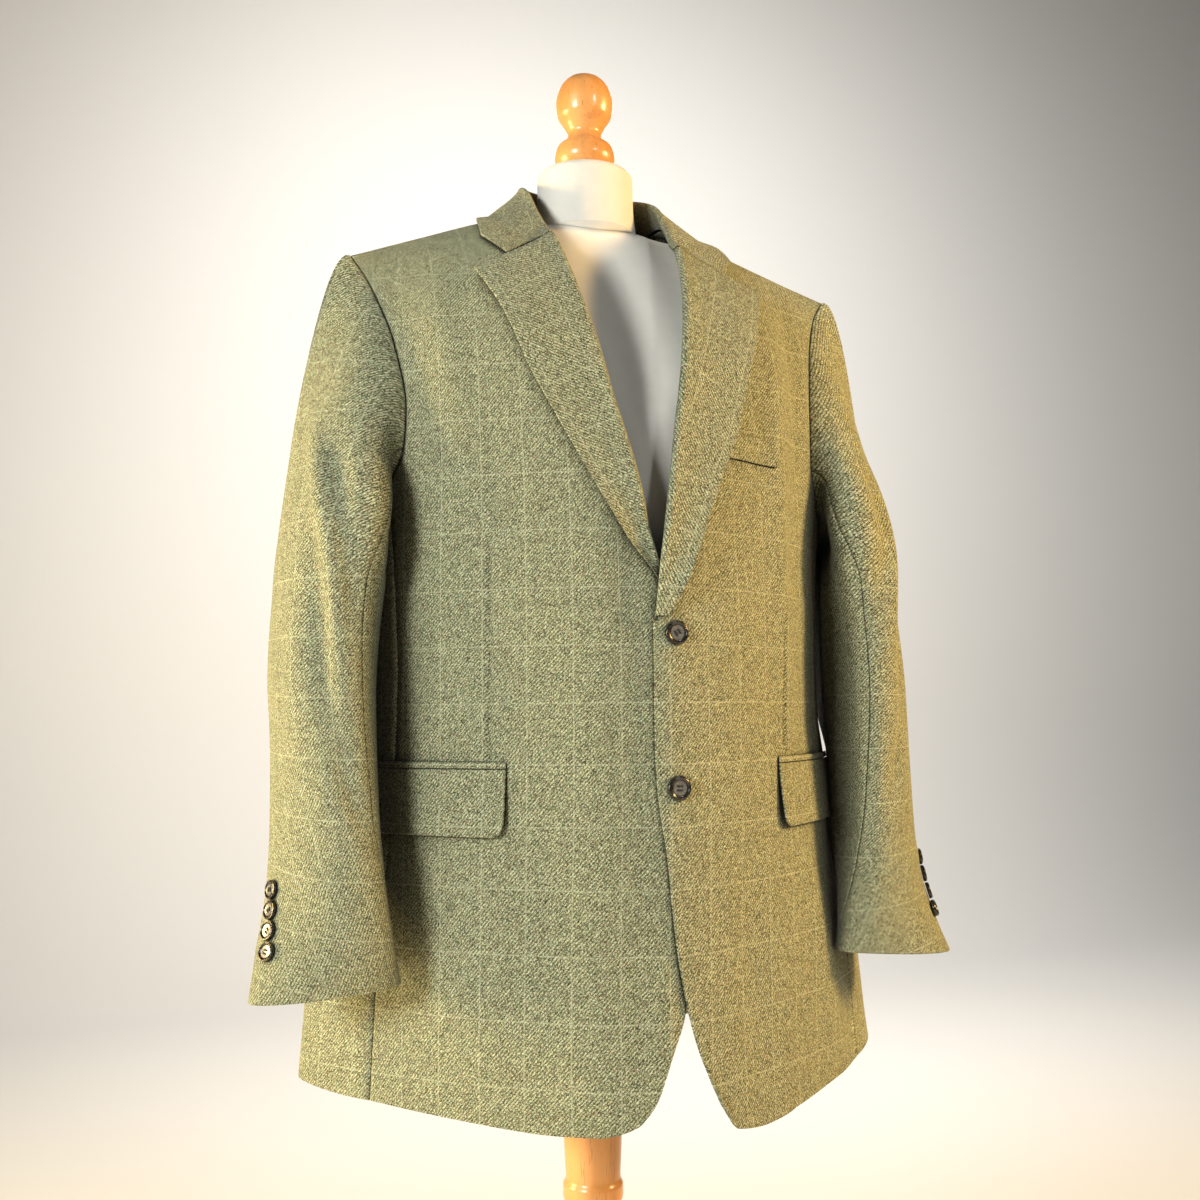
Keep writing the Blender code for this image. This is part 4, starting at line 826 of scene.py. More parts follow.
    def pieces(self) -> tuple[dict[str, Cloth], Array, Array]:
        """Work out the three panels, whose walls meet by sharing normals at seams, and the armhole.

        Returns:
            The panels by name, then the armhole's points and normals, from the front seam up
            over the shoulder and round under the arm.
        """
        form = self.form
        count = len(self.arm_heights)
        front = self.front()
        seam_heights = front[: 1 - count, -1, 2]
        flank = self.flank(seam_heights)
        back = self.back((seam_heights - seam_heights[0]) / (seam_heights[-1] - seam_heights[0]))
        neck = int(np.argmin(np.abs(refine(self.back_shares, 5) - self.back_shares[3])))
        front_n = grid_normals(front, np.array([0.2, -1, 0.2]))
        front_n[-1] = form.ridge_normal(front[-1, :, 0])
        flank_n = grid_normals(flank, np.array([1, 0, 0]))
        back_n = grid_normals(back, np.array([0.2, 1, 0.2]))
        back_n[-1, neck:] = form.ridge_normal(back[-1, neck:, 0])
        back_n[:, 0] = unit(back_n[:, 0] * np.array([0, 1, 1]))
        seam_rows = len(flank)
        for panel_n, column in ((front_n, 0), (back_n, -1)):
            shared = unit(panel_n[:seam_rows, -1] + flank_n[:, column])
            panel_n[:seam_rows, -1] = shared
            flank_n[:, column] = shared
        front_uv = together(self.side.value * form.grain_u(front[..., 0]), form.grain_v(front[..., 2]))
        flank_uv = self.ring_places(flank, np.abs(front_uv[len(flank) // 2, -1, 0]) + self.seam_turning)
        back_uv = self.ring_places(back, self.back_start)
        front = BODY_FOLDS.on(front, front_n, self.side) - front_n * self.dart(front)[..., None]
        flank = BODY_FOLDS.on(flank, flank_n, self.side)
        back = BODY_FOLDS.on(back, back_n, self.side)
        half = form.seam * self.seam_share
        panels = {
            "front": Cloth(trimmed(front, last=half, top=half), front_n, front_uv),
            "side": Cloth(trimmed(flank, first=half, last=half), flank_n, flank_uv),
            "back": Cloth(trimmed(back, first=half, last=half, top=half), back_n, back_uv),
        }
        ring, normals = (
            np.concatenate([ahead[-count:, -1], behind[-2 : -count - 1 : -1, -1], under[-1, -2:0:-1]])
            for ahead, behind, under in ((front, back, flank), (front_n, back_n, flank_n))
        )
        return panels, ring, normals


# Lapels and collar


@dataclass
class Lapel:
    """A notched lapel: it turns on its roll line and lies on the front."""

    form: JacketForm
    side: Side
    along: Row = (0.0, 0.04, 0.1, 0.18, 0.27, 0.36, 0.45, 0.54, 0.63, 0.72, 0.81, 0.9, 1.0)
    out: Row = (0.0, 0.14, 0.3, 0.48, 0.66, 0.84, 1.0)
    welt_lift: float = 0.0012
    welt_height: float = 1.237
    welt_reach: float = 0.035
    lift_start: float = 0.12
    edge_lifts: dict[Side, float] = field(default_factory=lambda: {Side.LEFT: 0.0085, Side.RIGHT: 0.0052})
    grain_start: float = 0.9

    def cloth(self) -> Cloth:
        """Lay out the lapel.

        The turn is half a circle about an axis behind it, and the fall lies over the front at
        low + (high - low)(1 - s)^2 for a share s of its width. Its free edge lifts by s^2.

        Returns:
            The lapel, rows from its break up to the gorge, columns round the turn and out.
        """
        form = self.form
        edge = form.line("lapel", self.side)
        roll = form.line("roll", self.side)
        along = refine(self.along, 6)
        out = refine(self.out, 5)
        roll_height = edge.first[0] + along * (form.gorge - edge.first[0])
        edge_height = edge.first[0] + along * (edge.last[0] - edge.first[0])
        roll_x = roll.read("x", roll_height)
        edge_x = edge.read("x", edge_height)
        radius = form.turn_radius(self.side, roll_height)
        start = radius / np.hypot(edge_x - roll_x, edge_height - roll_height)
        share = start[:, None] + (1 - start)[:, None] * out
        x = roll_x[:, None] + (edge_x - roll_x)[:, None] * share
        height = roll_height[:, None] + (edge_height - roll_height)[:, None] * share
        base = form.panel_point(self.side, x, height)
        normal = form.front_normal(self.side, x, height)
        high = (2 * radius - form.cloth)[:, None]
        lift = self.edge_lifts[self.side] * out**2 * eased(along, 0.0, self.lift_start)[:, None]
        welt = np.exp(-(((height - self.welt_height) / self.welt_reach) ** 2)) * (self.side is Side.LEFT)
        low = form.cloth + form.lie + self.welt_lift * welt + lift
        fall = base + normal * (low + np.maximum(high - low, 0) * (1 - out) ** 2)[..., None]
        towards = unit(form.panel_point(self.side, x[:, 0] + 1e-3, height[:, 0]) - base[:, 0])
        towards = unit(towards - normal[:, 0] * np.sum(towards * normal[:, 0], axis=1, keepdims=True))
        centre = fall[:, 0] - normal[:, 0] * radius[:, None]
        turn = np.linspace(0, np.pi, 15)[:-1]
        face = -(np.cos(turn)[None, :, None] * normal[:, :1] + np.sin(turn)[None, :, None] * towards[:, None])
        arc = centre[:, None] + radius[:, None, None] * face
        grid = np.concatenate([arc, fall], axis=1)
        normals = np.concatenate([face, normal], axis=1)
        run = lengths(grid, 1)
        across = self.side.value * (self.grain_start + run[:, -1:] - run)
        rise = lengths(grid[:, -1:], 0)
        up = form.grain_v(edge.first[0]) + rise + 0 * run
        outward = np.concatenate([0 * face + normal[:, :1], normal], axis=1)
        grid = BODY_FOLDS.on(grid, outward, self.side)
        return Cloth(trimmed(grid, top=form.seam * 0.4), normals, together(across, up))


@dataclass
class Collar:
    """The collar, from one gorge round the neck to the other."""

    form: JacketForm
    line: Table = Table("along fold_x fold_y fold_z edge_x edge_y out_x out_y out_z", (
        (0, 0.055, -0.086, 1.44, 0.1215, -0.069, 0.25, -0.85, 0.45),
        (0.15, 0.0605, -0.056, 1.472, 0.119, -0.042, 0.6, -0.6, 0.5),
        (0.35, 0.064, -0.02, 1.508, 0.108, -0.008, 0.95, -0.1, 0.3),
        (0.58, 0.057, 0.025, 1.529, 0.09, 0.03, 0.85, 0.5, 0.2),
        (0.8, 0.032, 0.054, 1.537, 0.05, 0.0605, 0.45, 0.9, 0.15),
        (1, 0, 0.064, 1.54, 0, 0.0825, 0, 1, 0.15),
        (1.2, -0.032, 0.054, 1.537, -0.05, 0.0605, -0.45, 0.9, 0.15),
    ))
    along: Row = (0.0, 0.05, 0.11, 0.19, 0.27, 0.35, 0.44, 0.54, 0.64, 0.74, 0.83, 0.92, 1.0)
    steps: int = 6
    belly: float = 0.003
    gorge_gap: float = 0.0008
    notch: Pair = (0.104, 1.4142)
    notch_share: float = 0.6
    neck_corner: float = 0.3
    levels: Pair = (0.05, 0.3)
    stand_rise: float = 0.0022
    stand_inset: float = 0.0005
    edge_lift: float = 0.0026
    grain_start: float = 2.0

    def neckline(self, side: Side, along: Array) -> Array:
        """Return the edge of the panels round the neck, from the gorge (0) to the nape (1)."""
        form = self.form
        corner = self.neck_corner
        start_x = form.gorge_x(side)
        rise = np.clip(along / corner, 0, 1)
        front_x = start_x + (form.neck_point - start_x) * rise
        front_z = form.gorge + (form.ridge_height(form.neck_point) - form.gorge) * rise
        front = together(front_x, form.surface_y(side, front_x, front_z), front_z)
        turn = np.clip((along - corner) / (1 - corner), 0, 1) * np.pi / 2
        back_x = form.neck_point * np.cos(turn)
        back_y = form.ridge_y(form.neck_point) + form.neck_depth * np.sin(turn)
        back = together(back_x, back_y, form.shoulder_height(back_x, back_y))
        return np.where((along < corner)[..., None], front, back)

    def lifted(self, points: Array, least: Array | float) -> Array:
        """Return the points, moved out wherever they lie nearer to the body than the least."""
        form = self.form
        moved = points.copy()
        for _ in range(3):
            x, y, height = moved[..., 0], moved[..., 1], moved[..., 2]
            slope_x = (form.shoulder_height(x + 1e-3, y) - form.shoulder_height(x - 1e-3, y)) / 2e-3
            slope_y = (form.shoulder_height(x, y + 1e-3) - form.shoulder_height(x, y - 1e-3)) / 2e-3
            normal = unit(together(-slope_x, -slope_y, np.ones_like(slope_x)))
            distance = (height - form.shoulder_height(x, y)) * normal[..., 2]
            moved += normal * np.maximum(least - distance, 0)[..., None]
        return moved

    def half(self, side: Side) -> tuple[Array, Array]:
        """Lay out half of the collar: rows from its stand's seam over the fold to the edge.

        The cloth rises from the neckline to the fold line, turns half a circle about an axis under
        it, and falls to the edge with a slight belly. Its first columns blend into the notch's end.

        Args:
            side: the half of the collar.

        Returns:
            The grid and its outward normals.
        """
        form = self.form
        line = self.line
        along = refine(self.along, self.steps)
        fold, outward = (
            together(*(line.read(f"{name}_{axis}", along) for axis in "xyz")) for name in ("fold", "out")
        )
        fold[:, 0] += (form.line("roll", side).last[1] - line.first[1]) * (1 - eased(along, 0, 0.5))
        start_z = form.gorge + self.gorge_gap
        gorge = fold[:1, 0], np.array([start_z])
        square = form.front_normal(side, *gorge)[0]
        end = form.panel_point(side, *gorge)[0] + square * (form.turn - form.cloth)
        near = self.steps
        blend = (np.arange(near) / near)[:, None]
        fold[:near] = end * (1 - blend) + fold[near] * blend
        outward[:near] = square * (1 - blend) + outward[near] * blend
        tangent = unit(np.gradient(fold, along, axis=0, edge_order=2))
        tangent[-1] = (-1, 0, 0)
        out = unit(outward - tangent * np.sum(outward * tangent, axis=1, keepdims=True))
        down = unit(np.cross(tangent, out))
        turn = np.linspace(0, np.pi, 13)
        face = -(np.cos(turn)[:, None, None] * out + np.sin(turn)[:, None, None] * down)
        arc = fold + down * form.turn + form.turn * face
        level = eased(along, *self.levels)[:, None]
        seam = self.neckline(side, along) - out * form.cloth
        seam += level * np.array([0, 0, self.stand_rise]) - (1 - level) * np.array([self.stand_inset, 0, 0])
        stand = np.stack([seam + (arc[0] - seam) * step for step in np.linspace(0, 1, 7)[:-1]])
        edge_x, edge_y = line.read("edge_x", along), line.read("edge_y", along)
        edge = together(edge_x, edge_y, form.shoulder_height(edge_x, edge_y))
        shares = np.linspace(0, 1, 26)[1:]
        wide = shares[:, None, None]
        fall = arc[-1] + (edge - arc[-1]) * wide + out * self.belly * np.sin(np.pi * wide)
        notch_x, notch_z = self.notch
        steps = np.clip(shares / self.notch_share, 0, 1)
        end_x = arc[-1, 0, 0] + (notch_x - arc[-1, 0, 0]) * steps
        end_z = start_z + (notch_z - start_z) * steps
        inner_corner = form.panel_point(side, np.array([notch_x]), np.array([notch_z]))[0]
        tip_steps = np.clip((shares - self.notch_share) / (1 - self.notch_share), 0, 1)[:, None]
        lifted = form.front_normal(side, end_x, end_z) * (form.cloth + form.lie)
        column = form.panel_point(side, end_x, end_z) + lifted + (edge[0] - inner_corner) * tip_steps
        mix = np.linspace(0, 1, near + 1)[None, :, None]
        fall[:, : near + 1] = column[:, None] * (1 - mix) + fall[:, near : near + 1] * mix
        fall = self.lifted(fall, form.cloth + form.lie + self.edge_lift * shares[:, None] ** 2)
        flap = np.concatenate([arc[-1:], fall])
        fall_normals = grid_normals(flap, out[None])[1:]
        normals = np.concatenate([np.broadcast_to(-out, stand.shape), face, fall_normals])
        return np.concatenate([stand, arc, fall]), normals

    def cloth(self) -> Cloth:
        """Return the whole collar, its left half joined to its right one at the centre back."""
        left, left_n = self.half(Side.LEFT)
        right, right_n = self.half(Side.RIGHT)
        grid = np.concatenate([left, Side.RIGHT.place(right)[:, -2::-1]], axis=1)
        normals = np.concatenate([left_n, Side.RIGHT.place(right_n)[:, -2::-1]], axis=1)
        row_run = lengths(grid, 1)
        down_run = lengths(grid, 0)
        u = row_run - row_run[:, -1:] / 2
        v = self.grain_start - (down_run[-1:] - down_run)
        return Cloth(grid, normals, together(u, v))


# Sleeves


@dataclass
class Sleeve:
    """A two-piece sleeve, from its cuff up to the armhole that it is set in."""

    form: JacketForm
    side: Side
    ring: Array
    ring_normals: Array
    steps: int = 6
    arm: Table = Table("height x y major minor turn", (
        (0.783, 0.26, -0.108, 0.06, 0.027, 86),
        (0.812, 0.26, -0.103, 0.057, 0.03, 70),
        (0.86, 0.259, -0.093, 0.056, 0.0335, 46),
        (0.93, 0.259, -0.078, 0.061, 0.037, 24),
        (1.02, 0.259, -0.06, 0.0715, 0.04, 12),
        (1.125, 0.252, -0.04, 0.083, 0.0435, 6),
    ))
    cuff_rise: float = 0.008
    rise_reach: float = 0.05
    row_heights: Row = (
        0.783, 0.798, 0.823, 0.857, 0.895, 0.935, 0.975, 1.015, 1.055, 1.092, 1.125,
    )
    cap_rows: int = 44
    seat: float = 0.0004
    tuck: Pair = (0.0022, 0.0002)
    flare: float = 0.3
    handles: tuple[Triple, Triple] = ((0.03, 0.08, -0.012), (0.03, -0.004, -0.006))
    clearance: float = 0.005
    clearance_soft: float = 0.006
    clearance_halves: Pair = (1.12, 1.18)
    clearance_top: float = 1.183
    fold_rows: int = 14
    fold_gap: Pair = (0.002, 0.014)
    fold_top: float = 1.19
    seam_share: float = 0.12
    ring_turns: Row = (215, 90, -35, -145)
    grain_across: dict[str, float] = field(default_factory=lambda: {"top_sleeve": 1.5, "under_sleeve": 2.0})
    grain_up: float = 3.0

    def arm_point(self, height: Array, turn: Array) -> Array:
        """Return points of the arm's section, an ellipse, at an angle from its back to outside."""
        read = self.arm.read
        axis = np.radians(read("turn", height))
        long_way = read("major", height) * np.cos(turn)
        short_way = read("minor", height) * np.sin(turn)
        x = read("x", height) + long_way * np.sin(axis) + short_way * np.cos(axis)
        y = read("y", height) + long_way * np.cos(axis) - short_way * np.sin(axis)
        inner = np.clip((read("x", height) - x) / 0.06, -1, 1)
        rise = self.cuff_rise * (0.5 + 0.5 * inner) * np.exp(-(height - self.arm.first[0]) / self.rise_reach)
        return together(x, y, height + rise)

    def turns(self) -> Array:
        """Return the angles on the arm that face each point of the armhole."""
        rows = (len(self.form.armhole_heights) - 1) * self.steps
        run = lengths(np.concatenate([self.ring, self.ring[:1]]), 0)
        knots = run[[0, rows, 2 * rows, len(self.ring)]]
        return np.radians(np.interp(run[:-1], knots, self.ring_turns))

    def whole(self) -> Array:
        """Lay out the whole sleeve: rows from the cuff up, columns round from its front seam.

        Below the biceps the rows are the arm's sections. Above it each column is a cubic Bezier
        curve into the armhole: p = a(1-t)^3 + 3b t(1-t)^2 + 3c t^2(1-t) + d t^3.

        Returns:
            The grid, closed round.
        """
        ring, normals = self.ring, self.ring_normals
        turns = self.turns()
        heights = refine(self.row_heights, self.steps)
        arm = self.arm_point(heights[:, None] + 0 * turns, turns[None] + 0 * heights[:, None])
        radial = unit((ring - ring.mean(axis=0)) * np.array([0, 1, 1]))
        into_hole = unit(np.cross(np.roll(ring, -1, axis=0) - np.roll(ring, 1, axis=0), normals))
        into_hole *= np.where(np.sum(into_hole * radial, axis=1, keepdims=True) > 0, -1, 1)
        end = ring + (into_hole + normals) * self.seat
        top_share = np.clip(radial[:, 2:3], 0, 1)
        bottom_share = np.clip(-radial[:, 2:3], 0, 1)
        leave = unit(np.array([1, 0, 0]) + radial * self.flare)
        low, high = (length + top * top_share + bottom * bottom_share for length, top, bottom in self.handles)
        low_handle = arm[-1] + unit(arm[-1] - arm[-2]) * low
        high_handle = end + leave * high
        t = np.linspace(0, 1, self.cap_rows + 1)[1:, None, None]
        cap = arm[-1] * (1 - t) ** 3 + 3 * low_handle * t * (1 - t) ** 2
        cap = cap + 3 * high_handle * t**2 * (1 - t) + end * t**3
        tucked = end - normals * self.tuck[0] + into_hole * self.tuck[1]
        grid = np.concatenate([arm, cap, tucked[None]])
        clear = self.form.side_x(self.side, grid[..., 1], grid[..., 2])
        clear = clear + self.clearance * (1 - 0.5 * eased(grid[..., 2], *self.clearance_halves))
        last_rows = np.arange(len(grid))[:, None] < len(grid) - 1 - self.cap_rows // 8
        gap = grid[..., 0] - clear
        soft = self.clearance_soft
        pushed = clear + soft * np.exp(np.minimum(gap - soft, 0) / soft)
        near = (grid[..., 2] < self.clearance_top) & last_rows & (gap < soft)
        grid[..., 0] = np.where(near, pushed, grid[..., 0])
        return grid

    def pieces(self) -> dict[str, Cloth]:
        """Cut the sleeve into its top and under pieces, each with its own cloth coordinates.

        Across the cloth u is the run along the biceps row, and v is the run down each column.

        Returns:
            The two pieces by name.
        """
        grid = self.whole()
        count = grid.shape[1]
        wrapped = np.concatenate([grid[:, -2:], grid, grid[:, :2]], axis=1)
        normals = grid_normals(wrapped, wrapped - grid.mean(axis=1, keepdims=True))[:, 2:-2]
        rows = (len(self.form.armhole_heights) - 1) * self.steps
        first = self.steps
        last = 2 * rows - 2 * self.steps
        biceps = len(refine(self.row_heights, self.steps)) - 1
        index = np.arange(len(grid))[:, None]
        fade = 1 - eased(index, len(grid) - self.fold_rows, len(grid) - 1)
        gap = grid[..., 0] - self.form.side_x(self.side, grid[..., 1], grid[..., 2])
        inner = np.where(grid[..., 2] < self.fold_top, eased(gap, *self.fold_gap), 1.0)
        moved = SLEEVE_FOLDS.on(grid, normals, self.side, fade * inner)
        under = np.arange(last, count + first + 1) % count
        around = {"top_sleeve": np.arange(first, last + 1), "under_sleeve": under}
        cut = {}
        for name, columns in around.items():
            part = grid[:, columns]
            reference = lengths(part, 1)[biceps]
            middle = reference[len(columns) // 2]
            across = self.side.value * (self.grain_across[name] + reference - middle)
            run = lengths(part, 0)
            up = self.grain_up + run - run[biceps : biceps + 1]
            uv = together(across[None] + 0 * run, up)
            edge = self.form.seam * self.seam_share
            cut[name] = Cloth(trimmed(moved[:, columns], first=edge, last=edge), normals[:, columns], uv)
        return cut


# Pockets


@dataclass
class SkirtPocket:
    """A jetted pocket with its flap, set on the skirt."""

    form: JacketForm
    side: Side
    top: float = 0.9635
    depth: float = 0.055
    start_x: float = 0.1215
    length: float = 0.155
    corner: float = 0.012
    jet_height: float = 0.0055
    thickness: float = 0.0018
    lift: float = 0.002
    sag: Triple = (0.35, 5.2, 0.6)
    curl: Pair = (0.8, 0.022)

    def laid(self, grid: Array, lift: Array | float = 0.0) -> Cloth:
        """Return a patch of cloth lying on the body at this grid, moved by its folds and a lift."""
        normals = grid_normals(grid, np.array([1, -1, 0]))
        away = np.asarray(self.thickness + self.form.patch_lie + lift)
        outer = BODY_FOLDS.on(grid, normals, self.side) + normals * away[..., None]
        run = lengths(grid[len(grid) // 2], 0)
        start_u = self.form.grain_u(np.array([self.start_x]))[0]
        u = self.side.value * (start_u + run[None] + 0 * grid[..., 2])
        return Cloth(outer, normals, together(u, self.form.grain_v(grid[..., 2])))

    def flap(self) -> Cloth:
        """Lay out the flap, whose lower front corner is rounded by a quarter circle."""
        runs = np.linspace(0, self.length, 81)
        levels = np.linspace(0, 1, 29)
        inset = self.corner - np.sqrt(self.corner**2 - np.maximum(self.corner - runs, 0) ** 2)
        bottom = self.top - self.depth + inset
        height = bottom + levels[:, None] * (self.top - bottom)
        knots = np.linspace(self.top - self.depth, self.top, 12)
        rows = np.stack([self.form.ring_walk(self.side, self.start_x, knot, runs) for knot in knots])
        place = (height - knots[0]) / (knots[1] - knots[0])
        low = np.clip(place.astype(int), 0, len(knots) - 2)
        part = (place - low)[..., None]
        column = np.arange(len(runs))[None]
        grid = rows[low, column] * (1 - part) + rows[low + 1, column] * part
        size, waves, start = self.sag
        sag = 1 + size * np.sin(runs / self.length * waves + start)
        curl = 1 + self.curl[0] * np.exp(-((runs / self.curl[1]) ** 2))
        lift = self.lift * (1 - levels[:, None]) ** 1.4 * sag * curl
        return self.laid(grid, lift)

    def jet(self) -> Cloth:
        """Lay out the jet, a narrow strip of cloth just above the flap."""
        start = self.top + self.form.seam
        runs = np.linspace(0, self.length, 61)
        heights = np.linspace(start, start + self.jet_height, 7)
        rows = [self.form.ring_walk(self.side, self.start_x, height, runs) for height in heights]
        return self.laid(np.stack(rows))


@dataclass
class ChestWelt:
    """The welt of the breast pocket, on the wearer's left."""

    form: JacketForm
    low_x: float = 0.052
    high_x: float = 0.127
    top: float = 1.249
    depth: float = 0.024
    tilt: float = 0.03
    thickness: float = 0.0019
    top_lift: float = 0.0014
    end_lift: float = 0.0012
    end_reach: float = 0.02

    def cloth(self) -> Cloth:
        """Lay out the welt, a slightly tilted strip."""
        form = self.form
        x = np.linspace(self.low_x, self.high_x, 41)
        rows = np.linspace(0, 1, 15)
        height = self.top - self.depth * (1 - rows[:, None]) + (self.high_x - x) * self.tilt
        x = x + 0 * height
        normals = form.front_normal(Side.LEFT, x, height)
        end = np.clip((x - self.high_x) / self.end_reach + 1, 0, 1)
        lift = self.top_lift * rows[:, None] ** 2 + self.end_lift * end**2
        away = form.patch_lie + self.thickness + lift
        grid = form.panel_point(Side.LEFT, x, height) + normals * away[..., None]
        uv = together(form.grain_u(x), form.grain_v(height))
        return Cloth(BODY_FOLDS.on(grid, normals, Side.LEFT), normals, uv)


# Buttons


@dataclass
class Button:
    """A four-hole button with a raised rim, and the thread that holds it.

    Its face is drawn in shares of its radius across and of its thickness up.
    """

    name: str
    radius: float
    place: Array
    normal: Array
    thread_turn: float
    thickness: float = 0.0036
    segments: int = 72
    rim: Triple = (0.84, 0.1, 0.3)
    dish: Pair = (0.45, 0.06)
    face: float = 0.7
    hole_reach: float = 0.17
    hole_edge: Pair = (0.06, 0.1)
    hole_depth: float = 0.4
    strand_radius: float = 0.00026
    strand_pitch: float = 0.0004
    strand_sides: int = 10
    bar_reach: float = 1.45
    bar_narrows: float = 0.35
    bar_arch: float = 0.0006
    bar_dive: float = 0.0009
    middle_rise: float = 0.00012
    thread_level: float = 0.64

    @property
    def axes(self) -> Array:
        """Directions across, up and out of the button, as rows."""
        normal = unit(self.normal)
        across = unit(np.cross(np.array([0, 0, 1.0]), normal))
        return np.stack([across, np.cross(normal, across), normal])

    def turned(self, x: Array, y: Array) -> Array:
        """Return points of the face, turned as the holes and the thread are."""
        turn = math.radians(self.thread_turn)
        return together(x * math.cos(turn) - y * math.sin(turn), x * math.sin(turn) + y * math.cos(turn))

    def face_height(self, x: Array, y: Array) -> Array:
        """Return the front's height: a dish inside a rounded rim, with four round pits.

        Args:
            x: place across, in radii.
            y: place up, in radii.

        Returns:
            The height above the button's back, in metres.
        """
        out = np.hypot(x, y)
        rim = self.rim[2] * np.exp(-(((out - self.rim[0]) / self.rim[1]) ** 2))
        dish = self.dish[1] * np.exp(-((out / self.dish[0]) ** 2))
        height = self.thickness * (self.face + rim - dish)
        for corner in ((1, 1), (1, -1), (-1, 1), (-1, -1)):
            hole_x, hole_y = self.hole_reach * self.turned(*corner)
            away = np.hypot(x - hole_x, y - hole_y)
            height = height - self.thickness * self.hole_depth * (1 - eased(away, *self.hole_edge))
        return height

    def build(self, maker: ClothMaker) -> Piece:
        """Make the button's body: its back, rounded edge and face, as rings about the axis."""
        turn = np.arange(self.segments) * 2 * np.pi / self.segments
        radii = np.concatenate([np.linspace(0.93, 0.5, 12), np.linspace(0.48, 0.004, 26)])
        x = radii[:, None] * np.cos(turn)
        y = radii[:, None] * np.sin(turn)
        face = together(x * self.radius, y * self.radius, self.face_height(x, y))
        bend = np.linspace(-np.pi / 2, np.pi / 2, 9)[:-1, None]
        edge_radius = self.radius * (0.9 + 0.1 * np.cos(bend))
        edge_height = self.thickness * (0.45 + 0.45 * np.sin(bend))
        edge = together(edge_radius * np.cos(turn), edge_radius * np.sin(turn), edge_height + 0 * turn)
        rings = np.concatenate([edge, face])
        plane = (rings[..., :2] / self.radius).reshape(-1, 2)
        return maker.tube(self.name + "_horn", self.place + rings @ self.axes, plane)

    def strand(self, bar: int, number: int) -> Array:
        """Return a strand's rings, arched by b(1 - t^4) - c|t|^8 from hole to hole, at t from -1 to 1.

        Args:
            bar: the bar that it lies in, -1 or 1.
            number: its place in the bar, from -1 to 1.

        Returns:
            The rings, by step along the strand.
        """
        t = np.linspace(-1, 1, 15)
        reach = self.hole_reach * self.radius
        sideways = bar * reach + number * self.strand_pitch * (1.0 - self.bar_narrows * np.abs(t))
        arch = self.bar_arch * (1 - t**4) + self.middle_rise * (number == 0) - self.bar_dive * np.abs(t) ** 8
        plane = self.turned(sideways, t * reach * self.bar_reach)
        path = together(*plane.T, self.thickness * self.thread_level + arch)
        forward = unit(np.gradient(path, axis=0))
        across = unit(np.cross(forward, np.array([0, 0, 1.0])))
        turn = np.arange(self.strand_sides)[:, None] * 2 * np.pi / self.strand_sides
        spoke = np.cos(turn) * across[:, None] + np.sin(turn) * np.cross(across, forward)[:, None]
        return path[:, None] + self.strand_radius * spoke

    def thread(self, maker: ClothMaker) -> Piece:
        """Make the thread: two bars of three strands, each arched between two holes."""
        rings = np.stack([self.strand(bar, number) for bar in (-1, 1) for number in (-1, 0, 1)])
        index = np.arange(rings[..., 0].size).reshape(rings.shape[:3])
        faces = np.concatenate([quads(strand, True)[:, [0, 3, 2, 1]] for strand in index])
        caps = tuple(cap for strand in index for cap in (strand[0], strand[-1, ::-1]))
        points = self.place + rings.reshape(-1, 3) @ self.axes
        return maker.mesh(self.name + "_thread", points, faces, caps=caps)


@dataclass
class ButtonSet:
    """All ten buttons: two down the front, and four up each sleeve's back seam."""

    form: JacketForm
    front_radius: float = 0.01
    front_x: float = 0.006
    front_heights: Pair = (1.073, 0.948)
    front_turns: Pair = (30.0, 88.0)
    cuff_radius: float = 0.0078
    cuff_lowest: float = 0.821
    cuff_pitch: float = 0.0157
    cuff_facings: Row = (68, 64, 59, 52)
    cuff_gap: float = 0.0006
    cuff_turn: float = 20.0
    front_gap: float = 0.0005

    def front(self) -> list[Button]:
        """Place the front buttons on the left front, square to the cloth."""
        buttons = []
        x = np.array([self.front_x])
        for number, (height, turn) in enumerate(zip(self.front_heights, self.front_turns), start=1):
            heights = np.array([height])
            normal = unit(self.form.front_normal(Side.LEFT, x, heights)[0] * np.array([0.4, 1, 1]))
            place = self.form.panel_point(Side.LEFT, x, heights)
            place = BODY_FOLDS.on(place, normal[None], Side.LEFT)[0] + normal * self.front_gap
            buttons.append(Button(f"front_button_{number}", self.front_radius, place, normal, turn))
        return buttons

    def cuff(self, sleeve: Sleeve) -> list[Button]:
        """Place a sleeve's buttons, each square to the arm's section where it faces outward.

        Args:
            sleeve: the sleeve that carries them.

        Returns:
            The buttons, top first.
        """
        buttons = []
        side = sleeve.side
        for number, bearing in enumerate(np.radians(self.cuff_facings), start=1):
            normal = np.array([math.sin(bearing), -math.cos(bearing), 0])
            height = self.cuff_lowest + (len(self.cuff_facings) - number) * self.cuff_pitch
            axis, major, minor = (sleeve.arm.read(name, height) for name in ("turn", "major", "minor"))
            lean = bearing + math.radians(axis)
            turn = math.atan2(minor * math.sin(lean), -major * math.cos(lean))
            step = 1e-3
            round_arm = sleeve.arm_point(height, turn + step) - sleeve.arm_point(height, turn - step)
            up_arm = sleeve.arm_point(height + step, turn) - sleeve.arm_point(height - step, turn)
            square = unit(np.cross(round_arm, up_arm))
            square = square * np.sign(np.dot(square, normal))
            point = sleeve.arm_point(height, turn)
            point = SLEEVE_FOLDS.on(point[None], square[None], side)[0] + square * self.cuff_gap
            name = f"cuff_button_{side.word}_{number}"
            place, facing = side.place(point), side.place(square)
            buttons.append(Button(name, self.cuff_radius, place, facing, self.cuff_turn * number))
        return buttons


# Dress form and stand


